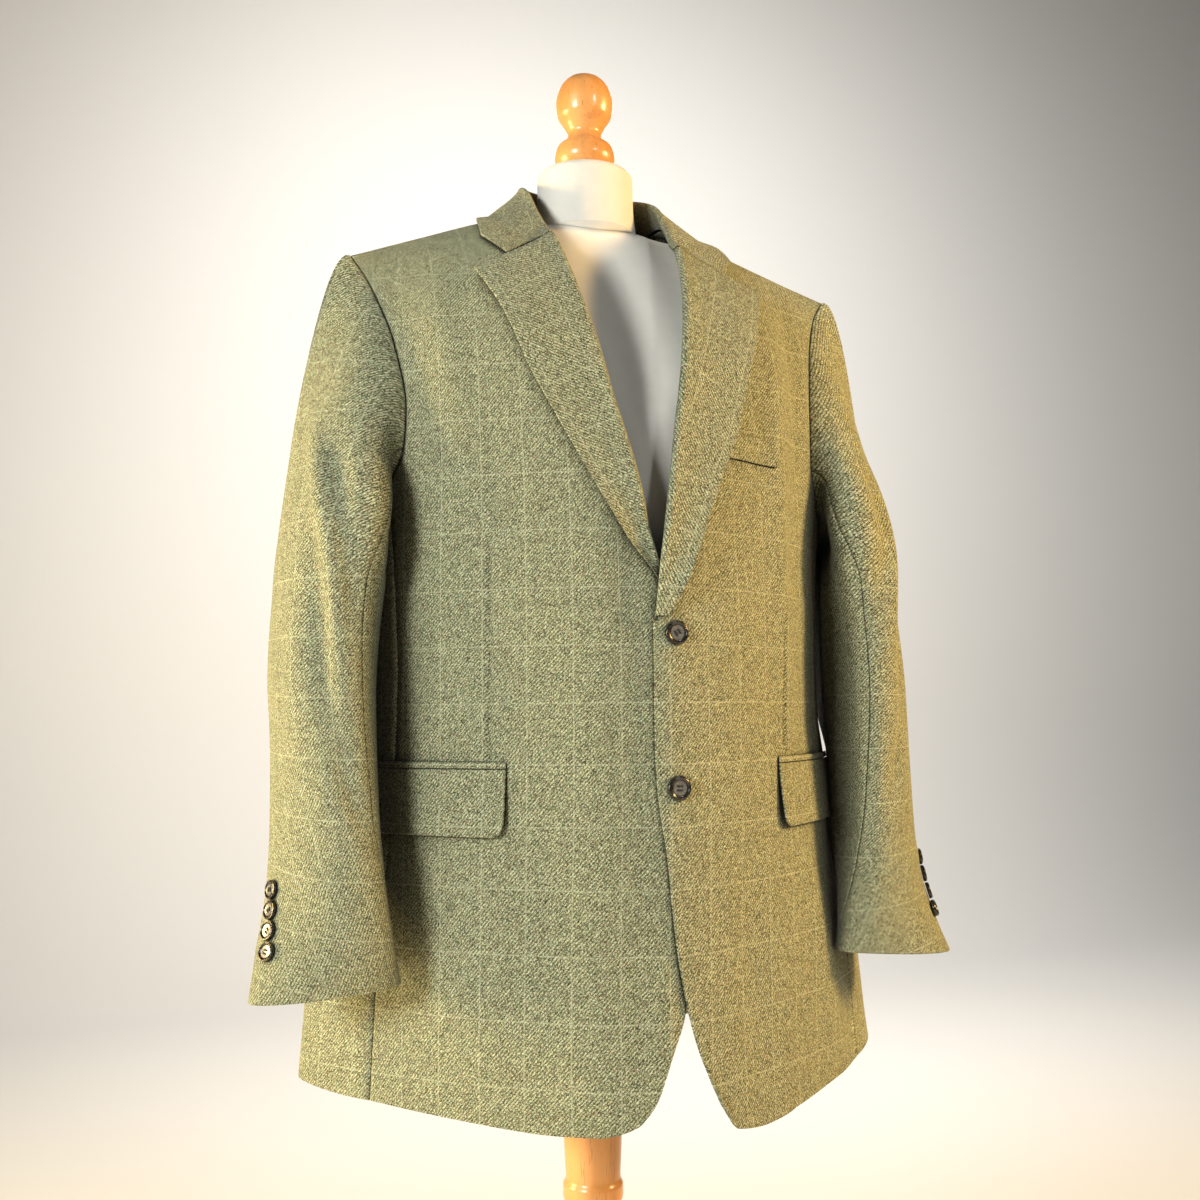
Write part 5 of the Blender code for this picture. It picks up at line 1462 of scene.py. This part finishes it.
@dataclass
class DressForm:
    """The limbless torso, its neck (a profile in millimetres) and their jersey cover."""

    form: JacketForm
    inset: float = 0.014
    front_inset: float = 0.025
    bottom: float = 0.8
    top: float = 1.474
    arm_x: float = 0.226
    arm_low: float = 1.16
    hip_room: float = 0.018
    power: float = 1.18
    fuller: float = 0.15
    ridge_gap: float = 0.0008
    neck: Profile = (
        (50, 1474.3), (49, 1485), (47.5, 1500), (47, 1533), (44, 1537),
    )

    def slice(self, height: float, rounding: float) -> Array:
        """Lay out half of a level slice, from the middle of its front to that of its back.

        Args:
            height: its height.
            rounding: how far it is drawn in, to round the lower edge.

        Returns:
            Its points.
        """
        form = self.form
        half_ring, front, back, widest, power = (
            form.rings.read(name, height) for name in ("half_width", "front", "back", "widest", "power")
        )
        xs = np.linspace(0, 0.28, 561)
        ridge = form.ridge_height(xs) - form.cloth - self.ridge_gap
        ridge_x = np.interp(-height, -ridge, xs)
        half_width = min(half_ring - self.inset, self.arm_x + self.hip_room, ridge_x)
        if height > self.arm_low:
            half_width = min(half_width, self.arm_x)
        angle = np.linspace(0, np.pi, 73)
        ahead = angle < np.pi / 2
        x = half_width * np.sin(angle) ** 0.8
        depth = np.where(ahead, front + self.front_inset, back - self.inset) - widest
        bow = np.where(ahead, power + self.fuller, form.back_power)
        section = widest + depth * bowed(x / (half_ring - self.inset), bow)
        crest = form.ridge_y(x)
        drop = np.maximum(np.interp(x, xs, ridge) - height, 0)
        y = crest + (section - crest) * bowed(1 - drop / form.drop_length(x, ahead), self.power)
        half = together(x, y, np.full_like(x, height))
        middle = np.array([0, y.mean(), height])
        return middle + (half - middle) * (1 - rounding / 0.2)

    def torso(self, maker: ClothMaker) -> Piece:
        """Make the torso from its slices, rounded at its lower edge."""
        lift = np.array([0.0, 0.0008, 0.0024, 0.005])
        heights = np.concatenate([self.bottom + lift, np.linspace(0.812, self.top, 66)])
        rounding = np.interp(heights, self.bottom + lift, [0.005, 0.0026, 0.0008, 0.0])
        halves = [self.slice(height, draw) for height, draw in zip(heights, rounding)]
        rings = [np.concatenate([half, Side.RIGHT.place(half[-2:0:-1])]) for half in halves]
        return maker.tube("torso_cover", np.stack(rings))

    def neck_piece(self, maker: ClothMaker) -> Piece:
        """Make the neck, turned about the pole's axis."""
        profile = np.array(self.neck) / MM
        place = np.linspace(0, len(profile) - 1, 40)
        smooth = together(*(np.interp(place, np.arange(len(profile)), column) for column in profile.T))
        return maker.lathe("neck_cover", smooth)


@dataclass
class Stand:
    """The turned wooden finial, pole and base, as radii and heights in millimetres."""

    finial: Profile = (
        (20.5, 1537.3), (20.5, 1541), (27, 1545.5), (30, 1555), (28, 1565), (19, 1574.5), (17, 1580),
        (20, 1587), (27, 1599), (28.5, 1612), (25, 1626), (15, 1637.5), (4, 1641),
    )
    pole: Profile = (
        (30, 25.3), (30, 120), (29, 540), (26, 556), (28, 564), (28, 573), (25.5, 580), (26.5, 600),
        (27.5, 630), (27.5, 799.7),
    )
    base: Profile = (
        (186, 0), (190, 4), (190, 16), (182, 22), (60, 25),
    )
    steps: int = 8

    def turned(self, maker: ClothMaker, node: str) -> Piece:
        """Turn a node's profile about the axis, its corners smoothed."""
        table = np.array(getattr(self, node)) / MM
        run = lengths(table, 0)
        at = refine(run, self.steps)
        return maker.lathe(f"{node}_wood", together(*(through(run, column, at) for column in table.T)))


# Finishes


@dataclass(frozen=True)
class Flow:
    """A node's output, which can be added, multiplied and so on like a number."""

    sheet: "NodeSheet"
    socket: Socket

    def __add__(self, other: object) -> "Flow":
        """Return the sum."""
        return self.sheet.maths("ADD", self, other)

    def __sub__(self, other: object) -> "Flow":
        """Return the difference."""
        return self.sheet.maths("SUBTRACT", self, other)

    def __mul__(self, other: object) -> "Flow":
        """Return the product."""
        return self.sheet.maths("MULTIPLY", self, other)

    def __truediv__(self, other: object) -> "Flow":
        """Return the quotient."""
        return self.sheet.maths("DIVIDE", self, other)


@dataclass
class NodeSheet:
    """A material's nodes, made and joined in short calls."""

    name: str
    material: Material = field(init=False)

    def __post_init__(self) -> None:
        """Start the material, with its shader."""
        self.material = bpy.data.materials.new(self.name)
        self.material.use_nodes = True
        self.shader = self.material.node_tree.nodes["Principled BSDF"]

    def feed(self, socket: Socket, value: object) -> None:
        """Link the value into the socket if it flows from a node, or else set it there."""
        if isinstance(value, Flow):
            self.material.node_tree.links.new(value.socket, socket)
        else:
            socket.default_value = value

    def add(
        self, kind: str, settings: dict[str, object] | None = None, out: int | str = 0, **inputs: object
    ) -> Flow:
        """Add a node.

        Args:
            kind: its type, without the prefix.
            settings: its own settings.
            out: the wanted output, by number or name.
            inputs: values or flows for its inputs, by name with _ for a space.

        Returns:
            The wanted output.
        """
        node = self.material.node_tree.nodes.new("ShaderNode" + kind)
        for key, value in (settings or {}).items():
            setattr(node, key, value)
        for key, value in inputs.items():
            self.feed(node.inputs[key.replace("_", " ")], value)
        return Flow(self, node.outputs[out])

    def split(self, kind: str, **value: object) -> list[Flow]:
        """Return the three parts of a vector (XYZ) or a colour (Color)."""
        node = self.add("Separate" + kind, **value).socket.node
        return [Flow(self, socket) for socket in node.outputs]

    def maths(self, operation: str, *values: object) -> Flow:
        """Return the result of a Math node."""
        result = self.add("Math", {"operation": operation})
        for socket, value in zip(result.socket.node.inputs, values):
            self.feed(socket, value)
        return result

    def arch(self, value: Flow) -> Flow:
        """Return sin(pi fract(v)), an arch between every two whole numbers."""
        return self.maths("SINE", self.maths("FRACT", value) * math.pi)

    def noise(self, vector: Flow, scale: float, detail: float = 2.0, roughness: float = 0.5) -> Flow:
        """Return a noise between 0 and 1."""
        sizes = {"Scale": scale, "Detail": detail, "Roughness": roughness}
        return self.add("TexNoise", None, "Fac", Vector=vector, **sizes)

    def stretched(self, vector: Flow, scale: Triple, turn: float = 0.0) -> Flow:
        """Return the vector turned about Z by degrees, then scaled."""
        turned = self.add("Mapping", Vector=vector, Rotation=(0, 0, math.radians(turn)))
        return self.add("Mapping", Vector=turned, Scale=scale)

    def ranged(self, value: Flow, low: float, high: float, to_low: float = 0.0, to_high: float = 1.0) -> Flow:
        """Return the value's place between low and high as a smooth step between two others."""
        ends = {"From_Min": low, "From_Max": high, "To_Min": to_low, "To_Max": to_high}
        return self.add("MapRange", {"interpolation_type": "SMOOTHSTEP"}, Value=value, **ends)

    def mixed(self, factor: object, first: object, second: object, blend: str = "MIX") -> Flow:
        """Return a mix of two colours."""
        result = self.add("Mix", {"data_type": "RGBA", "blend_type": blend}, 2)
        for place, value in ((0, factor), (6, first), (7, second)):
            self.feed(result.socket.node.inputs[place], value)
        return result

    def dimmed(self, colour: Flow, grey: Flow) -> Flow:
        """Return the colour times a grey."""
        return self.mixed(1.0, colour, self.add("CombineColor", Red=grey, Green=grey, Blue=grey), "MULTIPLY")

    def relief(self, height: Flow, distance: float, strength: float) -> None:
        """Bump the surface by a height that runs from 0 to 1."""
        bump = self.add("Bump", Height=height, Strength=strength, Distance=distance)
        self.feed(self.shader.inputs["Normal"], bump)

    def finish(self, colour: object, roughness: object, **fixed: float) -> Material:
        """Set the shader's colour and roughness, and its other sockets to fixed numbers."""
        for key, value in {"Base_Color": colour, "Roughness": roughness, **fixed}.items():
            self.feed(self.shader.inputs[key.replace("_", " ")], value)
        return self.material


@dataclass(frozen=True)
class TweedFinish:
    """Heathered twill with a pale windowpane check, drawn on the cloth's own coordinates.

    The ribs and wales climb the cloth at a slope, and stretch is the length of (1, slope): the
    sum that they are counted along grows by it. Each rib is cut into floats of random colours.
    """

    shadow: Colour = (0.055, 0.055, 0.031, 1)
    olive: Colour = (0.22, 0.233, 0.132, 1)
    pale: Colour = (0.56, 0.58, 0.38, 1)
    brown: Colour = (0.35, 0.235, 0.15, 1)
    green: Colour = (0.17, 0.27, 0.155, 1)
    line: Colour = (0.62, 0.64, 0.45, 1)
    check_across: float = 0.0395
    check_up: float = 0.0498
    start_across: float = 0.0
    start_up: float = 0.009
    line_half: float = 0.00055
    rib: float = 0.00052
    float_length: float = 0.0009
    wale: float = 0.0024
    slope: float = 0.92
    stretch: float = 1.36
    wobble: float = 0.0011
    stagger: float = 0.37
    # Reaches of the two ambient occlusion lookups whose darkening is painted shade.
    shade_reaches: Pair = (0.006, 0.11)

    def stripe(self, sheet: NodeSheet, place: Flow, pitch: float, start: float) -> Flow:
        """Return 1 on the check's lines along one direction: |fract(p / pitch + 1/2) - 1/2| small."""
        cell = sheet.maths("FRACT", (place - start) / pitch + 0.5)
        away = sheet.maths("ABSOLUTE", cell - 0.5) * pitch
        return sheet.ranged(away, self.line_half * 0.55, self.line_half * 1.5, 1.0, 0.0)

    def make(self) -> Material:
        """Make the material."""
        sheet = NodeSheet("tweed_twill")
        cloth = sheet.add("UVMap", {"uv_map": "cloth"})
        across, up, _ = sheet.split("XYZ", Vector=cloth)
        wobble = sheet.noise(cloth, 260, 2) * self.wobble
        slant = across - up * self.slope + wobble
        row = slant / (self.rib * self.stretch)
        rib = sheet.arch(row)
        ahead = across + up * self.slope
        run = ahead / (self.float_length * self.stretch) + sheet.maths("FLOOR", row) * self.stagger
        cell = sheet.add("CombineXYZ", X=sheet.maths("FLOOR", row), Y=sheet.maths("FLOOR", run))
        chance = sheet.add("TexWhiteNoise", {"noise_dimensions": "3D"}, "Color", Vector=cell)
        tint, browned, greened = sheet.split("Color", Color=chance)
        fleck = sheet.noise(sheet.stretched(cloth, (1.0, 0.7, 1.0)), 640, 2, 0.55)
        mottle = sheet.noise(cloth, 110, 3)
        yarn = tint * 0.84 + sheet.ranged(fleck, 0.36, 0.64, 0.0, 0.16)
        colour = sheet.mixed(sheet.ranged(yarn, 0.24, 0.44), self.shadow, self.olive)
        colour = sheet.mixed(sheet.ranged(yarn, 0.54, 0.72), colour, self.pale)
        colour = sheet.mixed(sheet.ranged(browned, 0.8, 0.84, 0.0, 0.6), colour, self.brown)
        colour = sheet.mixed(sheet.ranged(greened, 0.8, 0.84, 0.0, 0.45), colour, self.green)
        wale = sheet.arch(slant / (self.wale * self.stretch))
        shade = sheet.ranged(wale, 0.15, 0.95, 0.52, 1.26) + sheet.ranged(mottle, 0.3, 0.7, -0.05, 0.05)
        colour = sheet.dimmed(colour, shade)
        lines = sheet.maths("MAXIMUM", self.stripe(sheet, across, self.check_across, self.start_across),
                            self.stripe(sheet, up, self.check_up, self.start_up))
        colour = sheet.mixed(lines * sheet.ranged(fleck, 0.38, 0.58, 0.1, 0.5), colour, self.line)
        # Painted shade: ambient occlusion at a near and a wide reach darkens the cloth's colour in seams,
        # under lapels, flaps and welts, and between the sleeves and the body.
        near_shade, wide_shade = (
            sheet.add("AmbientOcclusion", {"samples": 6}, "AO", Distance=reach) for reach in self.shade_reaches
        )
        painted_shade = sheet.ranged(near_shade, 0.35, 0.88, 0.3) * sheet.ranged(wide_shade, 0.3, 0.8, 0.26)
        colour = sheet.dimmed(colour, painted_shade)
        sheet.relief(wale * 0.6 + rib * 0.25 + fleck * 0.35, 0.0005, 0.8)
        return sheet.finish(colour, 0.93, Sheen_Weight=0.12, Sheen_Roughness=0.45, Specular_IOR_Level=0.18)


@dataclass(frozen=True)
class HornFinish:
    """Polished horn: a dark mottled rim round a paler face."""

    dark: Colour = (0.01, 0.009, 0.008, 1)
    streak: Colour = (0.024, 0.019, 0.016, 1)
    # Paler grey that the dished centre is mixed towards.
    pale_centre: Colour = (0.185, 0.185, 0.18, 1)

    def make(self) -> Material:
        """Make the material."""
        sheet = NodeSheet("polished_horn")
        plane = sheet.add("UVMap", {"uv_map": "cloth"})
        place = sheet.add("TexCoord", out="Object")
        out = sheet.add("VectorMath", {"operation": "LENGTH"}, "Value", Vector=plane)
        grain = sheet.noise(sheet.stretched(place, (260, 260, 900)), 1.0, 4, 0.6)
        colour = sheet.mixed(sheet.ranged(grain, 0.4, 0.66), self.dark, self.streak)
        centre = sheet.ranged(out, 0.54, 0.66, 0.9, 0.0)
        colour = sheet.mixed(centre * sheet.ranged(grain, 0.3, 0.7, 0.65), colour, self.pale_centre)
        sheet.relief(grain, 0.00008, 0.6)
        roughness = sheet.ranged(grain, 0.3, 0.7, 0.18, 0.32)
        return sheet.finish(colour, roughness, Coat_Weight=0.5, Coat_Roughness=0.08)


@dataclass(frozen=True)
class ThreadFinish:
    """Twisted buttonhole thread."""

    colour: Colour = (0.01, 0.008, 0.007, 1)

    def make(self) -> Material:
        """Make the material."""
        sheet = NodeSheet("button_thread")
        place = sheet.add("TexCoord", out="Object")
        twist = sheet.noise(sheet.stretched(place, (1, 1, 1.6), 25), 2600, 2, 0.5)
        dark = tuple(channel * 0.55 for channel in self.colour[:3]) + (1,)
        colour = sheet.mixed(sheet.ranged(twist, 0.38, 0.62), dark, self.colour)
        sheet.relief(twist, 0.0001, 0.8)
        return sheet.finish(colour, 0.8, Sheen_Weight=0.2)


@dataclass(frozen=True)
class JerseyFinish:
    """Fine knitted cotton: small wales up the form with soft shading."""

    colour: Colour = (0.9, 0.885, 0.85, 1)
    groove: Colour = (0.7, 0.67, 0.61, 1)
    stitch: float = 0.0011
    wales: float = 470.0

    def make(self) -> Material:
        """Make the material: wales counted round the form, and courses that lean across them."""
        sheet = NodeSheet("knitted_jersey")
        place = sheet.add("TexCoord", out="Object")
        x, y, z = sheet.split("XYZ", Vector=place)
        wale = sheet.maths("SINE", sheet.maths("ARCTAN2", y, x) * self.wales)
        lean = sheet.maths("ABSOLUTE", wale) * 1.4
        course = sheet.maths("SINE", z * (2 * math.pi / self.stitch) + lean)
        knit = sheet.maths("MULTIPLY_ADD", course + sheet.maths("ABSOLUTE", wale), 0.25, 0.4)
        mottle = sheet.noise(place, 60, 3)
        colour = sheet.mixed(sheet.ranged(knit, 0.15, 0.75), self.groove, self.colour)
        colour = sheet.mixed(sheet.ranged(mottle, 0.35, 0.65, 0.0, 0.14), colour, self.groove)
        sheet.relief(knit, 0.0003, 0.6)
        return sheet.finish(colour, 0.92, Sheen_Weight=0.2)


@dataclass(frozen=True)
class WoodFinish:
    """Varnished wood with its grain running up a turning, or across a flat disc."""

    name: str = "varnished_wood"
    flat: bool = False
    ring_count: float = 42.0
    light: Colour = (0.82, 0.375, 0.12, 1)
    deep: Colour = (0.66, 0.285, 0.08, 1)
    pore: Colour = (0.2, 0.085, 0.026, 1)

    def turned(self, x: float, y: float, z: float) -> Triple:
        """Return a stretch with the grain's own direction last, or first on a disc."""
        return (z, y, x) if self.flat else (x, y, z)

    def make(self) -> Material:
        """Make the material."""
        sheet = NodeSheet(self.name)
        place = sheet.add("TexCoord", out="Object")
        drift = sheet.noise(sheet.stretched(place, self.turned(9, 9, 1.6)), 1.0, 3, 0.5)
        grain = sheet.noise(sheet.stretched(place, self.turned(60, 160, 5)), 1.0, 5, 0.62)
        pores = sheet.noise(sheet.stretched(place, self.turned(700, 700, 26)), 1.0, 2, 0.5)
        rings = sheet.maths("SINE", (drift + grain * 0.1) * self.ring_count)
        band = sheet.maths("MULTIPLY_ADD", rings, 0.28, grain * 0.85)
        colour = sheet.mixed(sheet.ranged(band, 0.15, 0.8), self.light, self.deep)
        colour = sheet.mixed(sheet.ranged(pores, 0.62, 0.72, 0.0, 0.55), colour, self.pore)
        sheet.relief(pores, 0.00012, 0.35)
        roughness = sheet.ranged(grain, 0.3, 0.7, 0.3, 0.44)
        return sheet.finish(colour, roughness, Coat_Weight=0.5, Coat_Roughness=0.16)


@dataclass(frozen=True)
class BackdropFinish:
    """Matt pale paper for the floor and the wall behind."""

    colour: Colour = (0.8, 0.8, 0.79, 1)

    def make(self) -> Material:
        """Make the material."""
        sheet = NodeSheet("backdrop_paper")
        return sheet.finish(self.colour, 0.9, Specular_IOR_Level=0.1)


# Studio


@dataclass
class Studio:
    """The camera, the soft lights, and the floor that curves up behind."""

    eye: Triple = (-0.3907, -1.1884, 1.011)
    aim: Triple = (94.8314, 0.5214, -18.6716)
    lens: float = 39.045
    lights: tuple[tuple[str, Triple, Triple, float, float, Triple], ...] = (
        ("window_light", (-2.5, -1.75, 1.7), (0, -0.05, 1.1), 0.7, 83.0, (0.98, 1.0, 0.94)),
        ("front_light", (1.0, -2.5, 2.3), (0, -0.05, 1.1), 0.35, 12.0, (0.96, 1.0, 0.96)),
        ("left_light", (-2.2, 0.5, 1.1), (0, -0.05, 1.0), 0.6, 62.0, (1.0, 0.72, 0.3)),
        ("right_light", (2.15, -1.0, 1.85), (0.1, -0.05, 1.35), 0.5, 86.0, (1.0, 0.64, 0.24)),
        ("back_light", (0.8, 2.4, 2.3), (0, 0, 1.2), 1.6, 24.0, (1.0, 0.95, 0.88)),
        ("wall_light", (1.2, 1.9, 3.0), (1.9, 4.6, 1.7), 3.0, 105.0, (1.0, 1.0, 1.0)),
    )
    tint: Colour = (0.93, 0.96, 1.0, 1)
    world: float = 0.03
    sky: float = 0.55
    reach: float = 9.0
    sweep_start: float = 3.4
    sweep_radius: float = 1.2
    wall_height: float = 7.0
    floor_gap: float = 0.0004

    def camera(self) -> None:
        """Put the camera where the view is taken from."""
        data = bpy.data.cameras.new("view")
        data.sensor_width = 36
        data.lens = self.lens
        camera = placed("view", data)
        camera.location = self.eye
        camera.rotation_euler = Euler([math.radians(angle) for angle in self.aim], "XYZ")
        bpy.context.scene.camera = camera

    def light(self) -> None:
        """Hang the area lights, each turned to its aim, and set the pale surroundings."""
        for name, place, aim, size, power, colour in self.lights:
            data = bpy.data.lights.new(name, "AREA")
            data.size = size
            data.energy = power
            data.color = colour
            lamp = placed(name, data)
            lamp.location = place
            towards = np.array(aim) - np.array(place)
            yaw = math.atan2(towards[1], towards[0]) - math.pi / 2
            pitch = math.atan2(towards[2], math.hypot(towards[0], towards[1])) + math.pi / 2
            lamp.rotation_euler = (pitch, 0, yaw)
        world = bpy.data.worlds.new("surroundings")
        world.use_nodes = True
        nodes, links = world.node_tree.nodes, world.node_tree.links
        background = nodes["Background"]
        background.inputs["Color"].default_value = self.tint
        seen = nodes.new("ShaderNodeLightPath")
        strength = nodes.new("ShaderNodeMath")
        strength.operation = "MULTIPLY_ADD"
        strength.inputs[1].default_value = self.sky - self.world
        strength.inputs[2].default_value = self.world
        links.new(seen.outputs["Is Camera Ray"], strength.inputs[0])
        links.new(strength.outputs[0], background.inputs["Strength"])
        bpy.context.scene.world = world
        bpy.context.scene.view_settings.view_transform = "Standard"

    def floor(self, maker: ClothMaker) -> Piece:
        """Lay the floor, which turns up through a quarter circle into the wall behind."""
        turn = np.linspace(0, np.pi / 2, 24)
        bend = self.sweep_radius
        foot = self.sweep_start
        depth = np.concatenate([[-self.reach], foot + bend * np.sin(turn), [foot + bend]])
        height = np.concatenate([[0.0], bend * (1 - np.cos(turn)), [self.wall_height]]) - self.floor_gap
        across = np.linspace(-self.reach, self.reach, 25)
        grid = together(*np.broadcast_arrays(across[None], depth[:, None], height[:, None]))
        index = np.arange(grid[..., 0].size).reshape(grid.shape[:2])
        return maker.mesh("floor_sweep", grid.reshape(-1, 3), quads(index))


# Putting it together


class Slot(Enum):
    """Names of four finishes."""

    TWEED = "tweed"
    HORN = "horn"
    JERSEY = "jersey"
    WOOD = "wood"


@dataclass
class Workshop:
    """Makes each piece, dresses it and ties it to the frame."""

    form: JacketForm = field(default_factory=JacketForm)
    maker: ClothMaker = field(default_factory=ClothMaker)
    finishes: dict[str, Material] = field(default_factory=dict)

    def mix_finishes(self) -> None:
        """Make every material once."""
        self.finishes = {
            "tweed": TweedFinish().make(),
            "horn": HornFinish().make(),
            "thread": ThreadFinish().make(),
            "jersey": JerseyFinish().make(),
            "wood": WoodFinish().make(),
            "plank": WoodFinish("varnished_plank", True).make(),
            "backdrop": BackdropFinish().make(),
        }

    def tie(self, piece: Piece, finish: str, node: str | None = None) -> None:
        """Dress a piece and tie it to the frame.

        Args:
            piece: the new piece.
            finish: its material's name.
            node: the CAD node that it stands for.
        """
        piece.data.materials.append(self.finishes[finish])
        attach(piece, BODY)
        if node:
            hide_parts(node)
        LOG.info("%s: %d triangles", piece.name, sum(len(face.vertices) - 2 for face in piece.data.polygons))

    def sew(self, node: str, cloth: Cloth, side: Side | None, thickness: float) -> None:
        """Make one piece of cloth.

        Args:
            node: the CAD node that it stands for.
            cloth: its grid, normals and cloth coordinates.
            side: its half, or None where the grid is already in place.
            thickness: its wall.
        """
        grid, normals = (side.place(each) if side else each for each in (cloth.grid, cloth.normals))
        piece = self.maker.wall(f"{node}_cloth", grid, normals, cloth.uv, thickness)
        self.tie(piece, "tweed", node)
        up = float(lengths(grid, 0)[-1].max())
        up = max(up, LEAST_FLAT)

    def half(self, side: Side) -> None:
        """Make the body, lapel, sleeve, pocket and cuff buttons of one half."""
        form = self.form
        panels, ring, normals = BodyPanels(form, side).pieces()
        for name, cloth in panels.items():
            self.sew(f"{name}_{side.word}", cloth, side, form.cloth)
        self.sew(f"lapel_{side.word}", Lapel(form, side).cloth(), side, form.cloth)
        sleeve = Sleeve(form, side, ring, normals)
        for name, cloth in sleeve.pieces().items():
            self.sew(f"{name}_{side.word}", cloth, side, form.cloth)
        pocket = SkirtPocket(form, side)
        for name, cloth in (("flap", pocket.flap()), ("jet", pocket.jet())):
            self.sew(f"{name}_{side.word}", cloth, side, pocket.thickness)
        self.sew_buttons(ButtonSet(form).cuff(sleeve))

    def sew_buttons(self, buttons: list[Button]) -> None:
        """Make the buttons and their threads."""
        for button in buttons:
            self.tie(button.build(self.maker), "horn", button.name)
            self.tie(button.thread(self.maker), "thread")

    def stand(self) -> None:
        """Make the dress form and the turned stand."""
        dress_form = DressForm(self.form)
        self.tie(dress_form.torso(self.maker), "jersey", "torso")
        self.tie(dress_form.neck_piece(self.maker), "jersey", "neck")
        stand = Stand()
        for node, finish in (("finial", "wood"), ("pole", "wood"), ("base", "plank")):
            self.tie(stand.turned(self.maker, node), finish, node)


def main() -> None:
    """Build everything in order."""
    logging.basicConfig(level=logging.INFO, format="%(message)s")
    workshop = Workshop()
    workshop.mix_finishes()
    studio = Studio()
    studio.camera()
    studio.light()
    floor = studio.floor(workshop.maker)
    floor.data.materials.append(workshop.finishes["backdrop"])
    workshop.stand()
    for side in Side:
        workshop.half(side)
    welt = ChestWelt(workshop.form)
    workshop.sew("chest_welt", welt.cloth(), Side.LEFT, welt.thickness)
    collar = Collar(workshop.form)
    workshop.sew("collar", collar.cloth(), None, collar.form.cloth)
    workshop.sew_buttons(ButtonSet(workshop.form).front())


if __name__ == "__main__":
    main()
